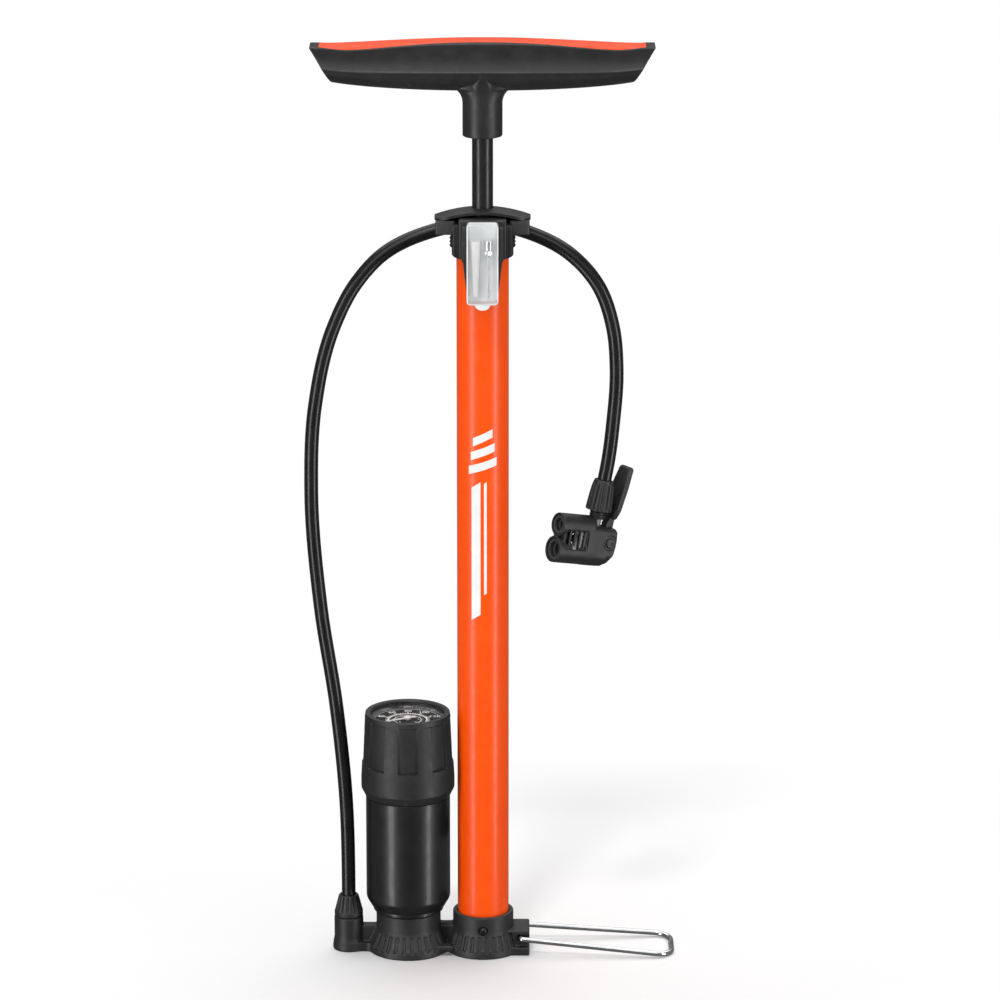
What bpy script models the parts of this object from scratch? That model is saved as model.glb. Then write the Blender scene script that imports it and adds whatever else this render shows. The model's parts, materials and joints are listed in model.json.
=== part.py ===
"""Floor bike pump with a gauge on a side tank, a dual chuck on a free hose and a wire foot.

The floor is z = 0, the barrel's axis is the Z axis, +X runs from the tank to the wire foot,
and -Y is the front. Every size below is in millimetres, and the helpers turn it into metres.
"""

import math

import bmesh
import bpy
from mathutils import Matrix, Vector

MM = 0.001
GAP = 0.3  # clearance between pieces that touch
ROUND = 34  # sides of the sockets, barrel and collar, which leave a flat side at the front for a screw

# barrel, rod and handle
BARREL_R = 17.0
BORE_R = 16.0
BARREL_FOOT = 12.3
BARREL_TOP = 496.5
ROD_R = 6.8
ROD_BORE_R = 5.6
ROD_FOOT = 92.3
ROD_TOP = 578.0
NECK_R = 12.9
NECK_FOOT = 554.5
HANDLE_MID = 601.0
HANDLE_HALF = 103.5

# base
TANK_X = -50.0
POST_X = -90.0
POST_R = 9.7
POST_TOP = 23.0
COLLAR_TOP = 27.5
CHANNEL_Z = 5.5
SCREW_Z = 18.5
FOOT_PIVOT = (25.0, 0.0, 11.0)

# tank and gauge
TANK_R = 28.0
TANK_NECK_R = 19.0
TANK_TOP_R = 25.0
TANK_TOP = 140.0
CAP_FOOT = 109.0
CAP_TOP = 166.0

# head
COLLAR_FOOT = 476.0
HEAD_SCREW_Z = 478.9
CAP_PLATE = 500.3
CAP_HALF = 31.0
CASE_HALF = 10.25
CASE_FOOT = 450.0
CASE_HEAD = 503.0

# chuck, in its own frame: ports towards -X, hose towards +Z
CHUCK_AT = (72.0, 0.0, 284.0)
CHUCK_YAW = 33.0
CHUCK_PITCH = 13.0
PORT_FACE = -30.0
UPPER_PORT = (8.6, 7.8, 6.3)  # height, outer radius and bore radius
LOWER_PORT = (-8.0, 8.7, 7.2)
LEVER_PIVOT = (8.0, 0.0, 0.5)
LEVER_HUB_R = 4.4
NUT_FOOT = 20.4
NUT_TOP = 40.8

# hose
HOSE_R = 4.6
HOSE_STEP = 13.0
HOSE_FOOT = (-90.0, 0.0, 38.3)
HOSE_ROUTE = (
    (-91.0, 0.0, 100.0),
    (-97.2, 0.5, 170.0),
    (-107.0, 2.0, 238.0),
    (-112.5, 3.5, 318.0),
    (-109.8, 7.5, 372.0),
    (-97.2, 14.5, 424.5),
    (-83.6, 19.0, 451.0),
    (-65.6, 23.5, 470.5),
    (-32.0, 27.0, 486.0),
    (0.0, 27.5, 490.5),
    (32.0, 27.0, 484.0),
    (57.0, 24.0, 471.0),
    (75.5, 20.0, 450.5),
    (84.8, 16.0, 424.5),
    (87.4, 12.0, 397.0),
    (85.2, 8.5, 361.0),
)

COLOURS = {
    "orange_enamel": ((1.0, 0.08, 0.0), 0.25, 0.3),
    "orange_grip": ((1.0, 0.08, 0.02), 0.6, 0.0),
    "black_plastic": ((0.03, 0.03, 0.03), 0.5, 0.0),
    "black_enamel": ((0.01, 0.01, 0.01), 0.25, 0.5),
    "black_rubber": ((0.012, 0.012, 0.012), 0.55, 0.0),
    "seal_rubber": ((0.02, 0.02, 0.02), 0.8, 0.0),
    "bright_zinc": ((0.75, 0.75, 0.75), 0.2, 1.0),
    "steel": ((0.55, 0.55, 0.55), 0.35, 1.0),
    "brass": ((0.7, 0.48, 0.16), 0.35, 1.0),
    "clear_plastic": ((0.9, 0.93, 0.95), 0.08, 0.0),
    "white_plastic": ((0.85, 0.85, 0.82), 0.4, 0.0),
    "dial_black": ((0.01, 0.01, 0.01), 0.6, 0.0),
    "pointer_white": ((0.8, 0.8, 0.78), 0.5, 0.0),
}

AXIS_TURNS = {
    "Z": Matrix.Identity(3),
    "X": Matrix(((0, 0, 1), (0, 1, 0), (-1, 0, 0))),
    "Y": Matrix(((1, 0, 0), (0, 0, 1), (0, -1, 0))),
}


def finish_of(name):
    """The material called name, made on its first use."""
    made = bpy.data.materials.get(name)
    if made:
        return made
    colour, roughness, metallic = COLOURS[name]
    made = bpy.data.materials.new(name)
    made.use_nodes = True
    shader = made.node_tree.nodes["Principled BSDF"]
    shader.inputs["Base Color"].default_value = (*colour, 1.0)
    shader.inputs["Roughness"].default_value = roughness
    shader.inputs["Metallic"].default_value = metallic
    made.diffuse_color = (*colour, 1.0)
    return made


def add_object(name, data, finish, at=(0, 0, 0), turn=None):
    obj = bpy.data.objects.new(name, data)
    data.materials.append(finish_of(finish))
    bpy.context.scene.collection.objects.link(obj)
    obj.location = Vector(at) * MM
    if turn:
        obj.rotation_euler = turn.to_euler()
    return obj


def solid(name, bm, finish, at=(0, 0, 0), along="Z"):
    """An object from a closed bmesh, smooth but for its sharp edges."""
    bmesh.ops.remove_doubles(bm, verts=bm.verts, dist=1e-6)
    bmesh.ops.recalc_face_normals(bm, faces=bm.faces)
    bm.transform(AXIS_TURNS[along].to_4x4())
    mesh = bpy.data.meshes.new(name)
    bm.to_mesh(mesh)
    bm.free()
    mesh.shade_smooth()
    mesh.set_sharp_from_angle(angle=math.radians(35))
    return add_object(name, mesh, finish, at)


def lathe(name, profile, finish, at=(0, 0, 0), along="Z", segments=28):
    """A turned solid. The profile's (radius, height) points run round its section."""
    bm = bmesh.new()
    verts = [bm.verts.new((r * MM, 0, z * MM)) for r, z in profile]
    edges = [bm.edges.new(pair) for pair in zip(verts, verts[1:])]
    if profile[0][0] or profile[-1][0]:
        edges.append(bm.edges.new((verts[-1], verts[0])))
    bmesh.ops.spin(
        bm, geom=verts + edges, cent=(0, 0, 0), axis=(0, 0, 1), angle=math.tau, steps=segments
    )
    return solid(name, bm, finish, at, along)


def ring(name, inner, outer, low, high, finish, at=(0, 0, 0), along="Z", segments=28):
    """A plain tube or washer. With an inner radius of 0 it is a disc."""
    profile = [(inner, low), (outer, low), (outer, high), (inner, high)]
    return lathe(name, profile, finish, at, along, segments)


def seal(name, radius, thickness, height, finish, at=(0, 0, 0)):
    """An O-ring whose section is a hexagon, centred on this radius and height."""
    corners = [math.tau * i / 6 for i in range(6)]
    half = thickness / 2
    profile = [(radius + half * math.cos(a), height + half * math.sin(a)) for a in corners]
    return lathe(name, profile, finish, at, segments=28)


def prism(name, outline, low, high, finish, at=(0, 0, 0), along="Z"):
    """An outline pushed from low to high: (x, y) along Z, (x, z) along Y or (y, z) along X."""
    spots = {
        "X": lambda a, b, h: Vector((h, a, b)) * MM,
        "Y": lambda a, b, h: Vector((a, h, b)) * MM,
        "Z": lambda a, b, h: Vector((a, b, h)) * MM,
    }[along]
    bm = bmesh.new()
    face = bm.faces.new([bm.verts.new(spots(a, b, low)) for a, b in outline])
    pushed = bmesh.ops.extrude_face_region(bm, geom=[face])["geom"]
    moved = [part for part in pushed if isinstance(part, bmesh.types.BMVert)]
    bmesh.ops.translate(bm, vec=spots(0, 0, high - low), verts=moved)
    return solid(name, bm, finish, at)


def block(name, low, high, finish, at=(0, 0, 0)):
    outline = [(low[0], low[1]), (high[0], low[1]), (high[0], high[1]), (low[0], high[1])]
    return prism(name, outline, low[2], high[2], finish, at)


def rounded_outline(low, high, radius, steps=3):
    """A rectangle from low to high with round corners."""
    points = []
    for turn, (a, b) in enumerate(((1, 1), (0, 1), (0, 0), (1, 0))):
        centre_a = high[0] - radius if a else low[0] + radius
        centre_b = high[1] - radius if b else low[1] + radius
        for step in range(steps + 1):
            angle = math.pi / 2 * (turn + step / steps)
            points.append((centre_a + radius * math.cos(angle), centre_b + radius * math.sin(angle)))
    return points


def loft(name, rings, finish, at=(0, 0, 0)):
    """A skin over rings of points, closed at both ends."""
    bm = bmesh.new()
    loops = [[bm.verts.new(Vector(point) * MM) for point in one] for one in rings]
    for near, far in zip(loops, loops[1:]):
        for i in range(len(near)):
            j = (i + 1) % len(near)
            bm.faces.new((near[i], near[j], far[j], far[i]))
    bm.faces.new(loops[0])
    bm.faces.new(loops[-1])
    return solid(name, bm, finish, at)


def rod_along(name, points, radius, finish, resolution=2, at=(0, 0, 0)):
    """A round rod or tube swept along points, with flat ends."""
    data = bpy.data.curves.new(name, "CURVE")
    data.dimensions = "3D"
    data.bevel_depth = radius * MM
    data.bevel_resolution = resolution
    data.use_fill_caps = True
    spline = data.splines.new("POLY")
    spline.points.add(len(points) - 1)
    for spot, point in zip(spline.points, points):
        spot.co = (*(Vector(point) * MM), 1.0)
    return add_object(name, data, finish, at)


def smooth_curve(stops, step):
    """Points at an even step along a smooth curve through the stops."""
    stops = [Vector(stop) for stop in stops]
    ends = [2 * stops[0] - stops[1], *stops, 2 * stops[-1] - stops[-2]]
    fine = []
    for p0, p1, p2, p3 in zip(ends, ends[1:], ends[2:], ends[3:]):
        chord = max((p2 - p1).length, 1e-9)
        before = max((p1 - p0).length, 1e-9)
        after = max((p3 - p2).length, 1e-9)
        leave = ((p1 - p0) / before * chord + (p2 - p1) / chord * before) / (before + chord) * chord
        reach = ((p2 - p1) / chord * after + (p3 - p2) / after * chord) / (after + chord) * chord
        for i in range(24):
            t = i / 24
            fine.append(
                (2 * t**3 - 3 * t**2 + 1) * p1
                + (t**3 - 2 * t**2 + t) * leave
                + (3 * t**2 - 2 * t**3) * p2
                + (t**3 - t**2) * reach
            )
    fine.append(stops[-1])
    lengths = [0.0]
    for near, far in zip(fine, fine[1:]):
        lengths.append(lengths[-1] + (far - near).length)
    count = round(lengths[-1] / step)
    points = []
    spot = 0
    for i in range(count + 1):
        goal = lengths[-1] * i / count
        while spot < len(lengths) - 2 and lengths[spot + 1] < goal:
            spot += 1
        share = (goal - lengths[spot]) / (lengths[spot + 1] - lengths[spot])
        points.append(fine[spot].lerp(fine[spot + 1], share))
    return points


def hide_helper(obj):
    obj.hide_render = True
    obj.display_type = "WIRE"
    obj.name = "helper_" + obj.name


def combine(obj, operation, others):
    """Booleans with the MANIFOLD solver, because EXACT leaves gaps in the base's many round cuts."""
    for other in others:
        modifier = obj.modifiers.new(other.name, "BOOLEAN")
        modifier.operation = operation
        modifier.solver = "MANIFOLD"
        modifier.object = other
        hide_helper(other)


def join(obj, *others):
    combine(obj, "UNION", others)


def cut(obj, *others):
    combine(obj, "DIFFERENCE", others)


def add_parent(name, at, turn=None, parent=None):
    empty = bpy.data.objects.new(name, None)
    bpy.context.scene.collection.objects.link(empty)
    empty.empty_display_size = 0.02
    empty.parent = parent
    empty.location = Vector(at) * MM
    if turn:
        empty.rotation_euler = turn.to_euler()
    return empty


def hold_new(start, parent):
    """Parents every object, helpers too, that was made since start was taken."""
    for obj in set(bpy.context.scene.objects) - start:
        if obj != parent:
            obj.parent = parent


# ---------------------------------------------------------------- base


def collar_profile(foot_r, collar_r):
    """One of the base's two round sockets, before its cup is cut."""
    return [
        (0, 0),
        (foot_r, 0),
        (foot_r, 5),
        (foot_r - 1, 6),
        (collar_r, 14.5),
        (collar_r, COLLAR_TOP),
        (0, COLLAR_TOP),
    ]


def socket_cutter(bore, groove, port, port_foot):
    """What is cut from a socket: its cup, a groove for the seal, and the port below the cup."""
    outer = bore + 1.5
    points = [(0, port_foot), (port, port_foot), (port, 12), (bore, 12), (bore, groove - 1.1)]
    points += [(outer, groove - 1.1), (outer, groove + 1.1), (bore, groove + 1.1), (bore, 30)]
    return points + [(0, 30)]


def make_base():
    plate = rounded_outline((POST_X - 8, -10), (27, 10), 3)
    base = prism("base", plate, 0, 10, "black_plastic")
    cup = socket_cutter(TANK_NECK_R + GAP, 15.5, 3.0, CHANNEL_Z - 0.6)
    seat = socket_cutter(BARREL_R + GAP, 14.5, 4.6, 3.2)
    post_hole = [(0, CHANNEL_Z - 0.6), (2.3, CHANNEL_Z - 0.6), (2.3, 12), (5.0, 12), (5.0, 25), (0, 25)]
    post = [(0, 0), (POST_R + 0.6, 0), (POST_R, POST_TOP), (0, POST_TOP)]
    wing = rounded_outline((12, -12.2), (31, 12.2), 1.5, 2)
    join(
        base,
        prism("spine", rounded_outline((POST_X, 5), (20, 17), 2, 2), -4, 4, "black_plastic", along="Y"),
        lathe("post", post, "black_plastic", (POST_X, 0, 0), segments=30),
        lathe("tank_socket", collar_profile(27.0, 21.5), "black_plastic", (TANK_X, 0, 0), segments=ROUND),
        lathe("barrel_socket", collar_profile(25.0, 20.2), "black_plastic", segments=ROUND),
        prism("wing", wing, 0, 16, "black_plastic"),
        prism("wing_foot", rounded_outline((10, -17), (31, 17), 1.5, 2), 0, 5.5, "black_plastic"),
    )
    cut(
        base,
        lathe("tank_cup", cup, "black_plastic", (TANK_X, 0, 0), segments=ROUND),
        lathe("barrel_cup", seat, "black_plastic", segments=ROUND),
        ring("air_channel", 0, 2.0, POST_X - 1.1, 0.7, "black_plastic", (0, 0, CHANNEL_Z), "X", 10),
        lathe("post_hole", post_hole, "black_plastic", (POST_X, 0, 0), segments=18),
        screw_hole(-25, -10, SCREW_Z),
        screw_hole(10, 25, SCREW_Z),
        ring("pivot_hole", 0, 1.85, -14, 14, "black_plastic", FOOT_PIVOT, "Y", 16),
    )


def screw_hole(low, high, height, radius=1.5):
    """A hole from front to back. With 10 sides, none of its corners meets a round wall's edge."""
    return ring("screw_hole", 0, radius, low, high, "black_plastic", (0, 0, height), "Y", 10)


def make_screw(name, at, along, toward, shank_r, shank, head_r, head):
    """A pan-head screw whose shank runs from at, and whose head ends it."""
    points = [(0, 0), (shank_r, 0), (shank_r, shank), (head_r, shank), (head_r, shank + head * 0.5)]
    points += [(head_r * 0.7, shank + head), (0, shank + head)]
    profile = [(r, toward * z) for r, z in points]
    return lathe(name, profile, "black_enamel", at, along, 12)


def make_barrel_foot():
    """What closes the barrel's lower end: seal, screws, valve seat, valve and its spring."""
    seal("barrel_seal", 18.0, 1.1, 14.5, "seal_rubber")
    foot = [(2.5, BARREL_FOOT), (15.7, BARREL_FOOT), (15.7, 22.5), (2.5, 22.5)]
    seat = lathe("valve_seat", foot, "black_plastic")
    cut(seat, screw_hole(-18, -9.5, SCREW_Z), screw_hole(9.5, 18, SCREW_Z))
    for name, side in (("barrel_screw_front", -1), ("barrel_screw_back", 1)):
        make_screw(name, (0, side * 10.5, SCREW_Z), "Y", side, 1.2, 10.0, 2.5, 1.6)
    lathe("check_valve", [(0, 9.9), (4.0, 9.9), (4.0, 11.2), (3.4, 12.0), (0, 12.0)], "seal_rubber", segments=20)
    turns = 3.5
    coil = []
    for i in range(int(turns * 10) + 1):
        angle = math.tau * i / 10
        coil.append((3.2 * math.cos(angle), 3.2 * math.sin(angle), 3.9 + 5.3 * i / (turns * 10)))
    rod_along("valve_spring", coil, 0.35, "steel", 0)


def make_barrel():
    barrel = ring("barrel", BORE_R, BARREL_R, BARREL_FOOT, BARREL_TOP, "orange_enamel", segments=ROUND)
    cut(
        barrel,
        screw_hole(-20, -10, SCREW_Z),
        screw_hole(10, 20, SCREW_Z),
        screw_hole(10, 20, HEAD_SCREW_Z, 1.3),
    )


def make_foot_wire():
    """The wire stirrup, with its two ends turned into the base's pivot hole."""
    half = []
    px, _, pz = FOOT_PIVOT
    slope = (2.0 - pz) / 100.0
    half += [(0, 4.5, 0), (0, 12.6, 0), (0.6, 14.3, 0), (2.4, 15.0, slope * 2.4)]
    half += [(90, 20.4, slope * 90)]
    for i in range(1, 7):
        angle = math.pi / 2 * i / 6
        reach = 90 + 11 * math.sin(angle)
        half.append((reach, 9.4 + 11 * math.cos(angle), slope * min(reach, 100)))
    mirrored = [(x, -y, z) for x, y, z in reversed(half)]
    rod_along("foot_wire", half + mirrored, 1.75, "bright_zinc", 2, FOOT_PIVOT)


# ---------------------------------------------------------------- tank and gauge


def make_tank():
    outer = [(TANK_NECK_R, BARREL_FOOT), (TANK_NECK_R, 28.8), (23.5, 29.6), (26.7, 32.4)]
    outer += [(TANK_R, 38), (TANK_R, 108.7), (TANK_TOP_R, 108.7), (TANK_TOP_R, TANK_TOP)]
    inner = [(22.0, TANK_TOP), (22.0, 106.5), (26.3, 104), (26.3, 38), (16.8, 31), (16.8, BARREL_FOOT)]
    lathe("tank", outer + inner, "black_enamel", (TANK_X, 0, 0), segments=36)
    seal("tank_seal", 19.75, 1.0, 15.5, "seal_rubber", (TANK_X, 0, 0))


def make_gauge():
    at = (TANK_X, 0, 0)
    bore = TANK_TOP_R + GAP
    outer = [(bore + 2.9, CAP_FOOT), (31.0, 114.5), (31.0, 121), (29.1, 162), (28.0, CAP_TOP)]
    outer += [(25.0, CAP_TOP), (24.2, 164.7)]
    lathe("gauge_cap", [(bore, CAP_FOOT), *outer, (bore, 164.7)], "black_plastic", at, segments=36)
    seal("gauge_seal", 23.5, 1.6, 141.2, "seal_rubber", at)
    case = [(3.3, 142.4), (25.0, 142.4), (25.0, 162.4), (23.7, 162.4), (23.7, 159.2), (22.4, 158.6)]
    case += [(22.4, 144.4), (3.3, 144.4)]
    lathe("gauge_case", case, "steel", at, segments=32)
    socket = ring("gauge_socket", 0, 3.0, 136.5, 151.5, "brass", at, segments=16)
    join(socket, block("socket_arm", (-4, 0, 149.8), (4, 15.5, 156), "brass", at))
    cut(
        socket,
        ring("socket_bore", 0, 1.0, 136, 151, "brass", at, segments=10),
        ring("arbor_hole", 0, 1.1, 150.5, 157, "brass", at, segments=12),
    )
    ring("gauge_nut", 3.7, 6.2, 139.4, 142.1, "brass", at, segments=6)
    bow = []
    for i in range(17):
        angle = math.radians(110 + 255 * i / 16)
        bow.append((17 * math.cos(angle), 17 * math.sin(angle), 154))
    rod_along("bourdon_tube", bow, 1.5, "brass", 1, at)
    ring("dial", 1.6, 23.4, 159.5, 160.2, "dial_black", at)
    ring("gauge_lens", 0, 24.9, 162.7, 164.4, "clear_plastic", at)
    pointer = lathe(
        "pointer",
        [(0, 153), (0.8, 153), (0.8, 160.7), (2.4, 160.9), (2.4, 162.4), (0, 162.4)],
        "pointer_white",
        at,
        segments=16,
    )
    hand = [(-1.3, 6), (1.3, 6), (0.5, -19), (-0.5, -19)]
    blade = prism("pointer_blade", hand, 161.2, 161.9, "pointer_white", at)
    blade.rotation_euler.z = math.radians(-62)
    join(pointer, blade)


# ---------------------------------------------------------------- head


def make_head():
    ridges = []
    for i in range(3):
        foot = 482 + 2.5 * i
        ridges += [(20.0, foot), (21.4, foot + 1.1), (20.0, foot + 2.2)]
    inner = BARREL_R + GAP
    profile = [(inner, COLLAR_FOOT), (20.0, COLLAR_FOOT), *ridges, (20.0, 500), (8.0, 500)]
    profile += [(8.0, 497), (inner, 497)]
    collar = lathe("head_collar", profile, "black_plastic", segments=ROUND)
    join(collar, block("collar_arch", (-15.4, -21.8, 478.4), (15.4, -10, 499.5), "black_plastic"))
    bore = ring("collar_bore", 0, inner, 470, 497, "black_plastic", segments=ROUND)
    cut(collar, bore, screw_hole(10, 25, HEAD_SCREW_Z))
    bush = ring("guide_bush", ROD_R + 0.15, 15.7, COLLAR_FOOT + 0.5, 496.7, "black_plastic")
    cut(bush, screw_hole(10, 18, HEAD_SCREW_Z, 1.3))
    ring("stop_bumper", ROD_R + 0.4, 15.3, 471.2, 476.2, "seal_rubber")
    make_screw("head_screw", (0, 11.5, HEAD_SCREW_Z), "Y", 1, 1.0, 8.8, 2.4, 1.4)
    make_head_cap()
    make_case_holder()


def make_head_cap():
    """The crowned plate on top of the head, with the walls that hold the hose behind it."""
    crown = [(CAP_HALF, CAP_PLATE)]
    for i in range(13):
        share = 1 - i / 6
        crown.append((CAP_HALF * share, 508 - 5.8 * share * share))
    crown.append((-CAP_HALF, CAP_PLATE))
    cap = prism("head_cap", crown, -18, 36, "black_plastic", along="Y")
    plan = rounded_outline((-CAP_HALF - 0.01, -18.01), (CAP_HALF + 0.01, 36.01), 11, 4)
    walls = []
    for side in (-1, 1):
        low, high = sorted((side * 17.6, side * (CAP_HALF - 0.6)))
        walls.append(block("skirt", (low, -13.5, 492), (high, 17.5, 501), "black_plastic"))
        low, high = sorted((side * 4, side * 15))
        walls.append(block("clip", (low, 33.0, 486), (high, 35.6, 501), "black_plastic"))
    keep = prism("cap_plan", plan, 480, 515, "black_plastic")
    join(cap, *walls)
    combine(cap, "INTERSECT", [keep])
    cut(
        cap,
        ring("collar_room", 0, 22.2, 480, 500.3, "black_plastic", segments=40),
        ring("rod_hole", 0, ROD_R + 0.5, 495, 512, "black_plastic", segments=24),
    )


def make_case_holder():
    """The tongue in front of the head, with a rail on each side of the clear case."""
    tongue = [(-12.6, 500), (-12.6, 476), (-10.0, 453.5), (-8.5, 452), (8.5, 452), (10.0, 453.5)]
    tongue += [(12.6, 476), (12.6, 500)]
    holder = prism("case_holder", tongue, -23.9, -22.1, "black_plastic", along="Y")
    for side in (-1, 1):
        low, high = sorted((side * (CASE_HALF + GAP), side * 13.4))
        rail = rounded_outline((low, 474.5), (high, 500), 1.2, 2)
        join(holder, prism("rail", rail, -29.5, -22.3, "black_plastic", along="Y"))


def make_case():
    """The clear case with the ball needle and the cone nozzle in it. It slides down off the tongue."""
    case = block("clear_case", (-CASE_HALF, -33.2, CASE_FOOT), (CASE_HALF, -24.2, CASE_HEAD), "clear_plastic")
    bevel = case.modifiers.new("edges", "BEVEL")
    bevel.width = 1.0 * MM
    bevel.segments = 2
    bevel.limit_method = "ANGLE"
    tab = [(-5, CASE_FOOT + 1.5), (5, CASE_FOOT + 1.5)]
    for i in range(7):
        angle = math.pi * i / 6
        tab.append((4.4 * math.cos(angle), CASE_FOOT + 0.4 - 3.4 * math.sin(angle)))
    join(case, prism("thumb_tab", tab, -32.6, -31.2, "clear_plastic", along="Y"))
    cut(case, block("case_hollow", (-9.25, -32.2, CASE_FOOT + 1.2), (9.25, -25.2, 510), "clear_plastic"))
    needle = [(0, 453.5), (0.8, 454.2), (0.8, 481.5), (3.0, 482.5), (3.0, 485), (2.4, 485.5), (2.4, 491)]
    lathe("ball_needle", [*needle, (0, 491)], "bright_zinc", (5.0, -28.7, 0), segments=16)
    cone = [(0.9, 455), (1.7, 455), (2.9, 482), (3.1, 488), (3.1, 491.5), (2.0, 491.5), (2.0, 484)]
    lathe("cone_nozzle", cone, "white_plastic", (-4.6, -28.7, 0), segments=16)


# ---------------------------------------------------------------- plunger


def make_rod():
    ring("rod", ROD_BORE_R, ROD_R, ROD_FOOT, ROD_TOP, "black_enamel")
    ring("rod_plug", 2.3, ROD_BORE_R - GAP, ROD_FOOT + 0.4, 108, "steel", segments=20)
    ring("rod_top_plug", 2.3, ROD_BORE_R - GAP, 560, ROD_TOP - 0.4, "steel", segments=20)
    piston = [(2.4, 78), (14.6, 78), (15.6, 79), (15.6, 81), (13.0, 81), (13.0, 87), (15.6, 87)]
    piston += [(15.6, 91), (14.6, 92), (2.4, 92)]
    lathe("piston", piston, "white_plastic")
    cup = [(13.3, 81.3), (15.0, 81.3), (15.8, 82.2), (15.8, 85.8), (15.0, 86.7), (13.3, 86.7)]
    lathe("piston_ring", cup, "seal_rubber")
    ring("piston_washer", 2.4, 9.0, 76.2, 77.7, "steel", segments=24)
    bolt = make_screw("piston_bolt", (0, 0, 104), "Z", -1, 2.0, 28.1, 4.6, 3.4)
    bolt.data.materials[0] = finish_of("steel")


def handle_shape(share):
    """Half depth, foot, rim and crown of the handle at this share of its half length."""
    away = abs(share)
    swing = (away / 0.8) ** 1.7 / 2 if away <= 0.8 else 0.5 + (away - 0.8) * 1.5
    dip = math.sin(math.pi * swing) ** 2
    depth = 15.0 - 2.6 * away**2
    foot = 584.0 + 5.6 * away**2.2
    rim = 615.8 - 2.2 * away**2 - 4.3 * dip
    crown = 617.0 - 3.6 * away**2
    return depth, foot, rim, crown


def handle_ring(share, section):
    """A ring of points at this share of the handle's half length, slanted near the ends."""
    slant = 0.6 * abs(share) ** 6 * math.copysign(1, share)
    ring_points = []
    for y, z in section:
        ring_points.append((share * HANDLE_HALF + slant * (z - HANDLE_MID), y, z))
    return ring_points


def body_section(share):
    depth, foot, rim, _ = handle_shape(share)
    middle = HANDLE_MID - 3
    points = [(depth * 0.86, rim), (depth * 0.97, (rim + middle) / 2)]
    for i in range(9):
        angle = math.pi * i / 8
        points.append((depth * math.cos(angle), middle - (middle - foot) * math.sin(angle)))
    return points + [(-depth * 0.97, (rim + middle) / 2), (-depth * 0.86, rim)]


def pad_section(share):
    depth, _, rim, crown = handle_shape(share)
    foot = rim + GAP
    half = depth * 0.84
    crown = max(crown, foot + 0.8)
    points = [(half, foot)]
    for i in range(7):
        angle = math.pi * i / 6
        points.append((half * 0.97 * math.cos(angle), foot + 0.3 + (crown - foot - 0.3) * math.sin(angle)))
    return points + [(-half, foot)]


def make_handle():
    shares = [i / 9 for i in range(-9, 10)]
    rings = [handle_ring(share, body_section(share)) for share in shares]
    handle = loft("handle", rings, "black_plastic")
    neck = [(0, NECK_FOOT), (NECK_R - 0.8, NECK_FOOT), (NECK_R, NECK_FOOT + 0.8), (NECK_R, 578)]
    neck += [(13.8, 581), (13.8, 594), (0, 594)]
    join(handle, lathe("neck", neck, "black_plastic"))
    gusset = [(-20, 588), (-15.5, 585), (-13.4, 582), (-12.6, 577), (12.6, 577), (13.4, 582), (15.5, 585)]
    join(handle, prism("gusset", [*gusset, (20, 588)], -9, 9, "black_plastic", along="Y"))
    cut(
        handle,
        ring("neck_bore", 0, ROD_R + GAP, 550, ROD_TOP + 0.4, "black_plastic", segments=24),
        ring("screw_way", 0, 2.3, 575, 600, "black_plastic", segments=12),
        ring("screw_pocket", 0, 5.2, 597.5, 620, "black_plastic", segments=20),
    )
    shares = [i / 9 for i in range(-8, 9)]
    rings = [handle_ring(share * 1.06, pad_section(share * 1.06)) for share in shares]
    loft("grip_pad", rings, "orange_grip")
    screw = make_screw("handle_screw", (0, 0, 564), "Z", 1, 2.0, 33.8, 4.6, 3.0)
    screw.data.materials[0] = finish_of("steel")


# ---------------------------------------------------------------- hose and chuck


def make_hose_gland():
    """The tapered nut and barbed stem that hold the hose's lower end on the base."""
    at = (POST_X, 0, 0)
    nut = [(5.0, POST_TOP + GAP), (9.3, POST_TOP + GAP), (9.4, 28), (6.5, 37.4), (6.1, 38), (5.0, 38)]
    lathe("gland_nut", nut, "black_plastic", at, segments=24)
    stem = [(1.4, 12.6), (4.6, 12.6), (4.6, 23.2), (2.9, 23.6), (2.9, 35.5), (2.4, 37.5), (1.4, 37.5)]
    lathe("hose_barb", stem, "brass", at, segments=20)


def chuck_turn():
    yaw = Matrix.Rotation(math.radians(CHUCK_YAW), 3, "Z")
    return yaw @ Matrix.Rotation(math.radians(CHUCK_PITCH), 3, "Y")


def chuck_spot(x, y, z):
    """Where a point of the chuck's own frame is on the pump."""
    return Vector(CHUCK_AT) + chuck_turn() @ Vector((x, y, z))


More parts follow.
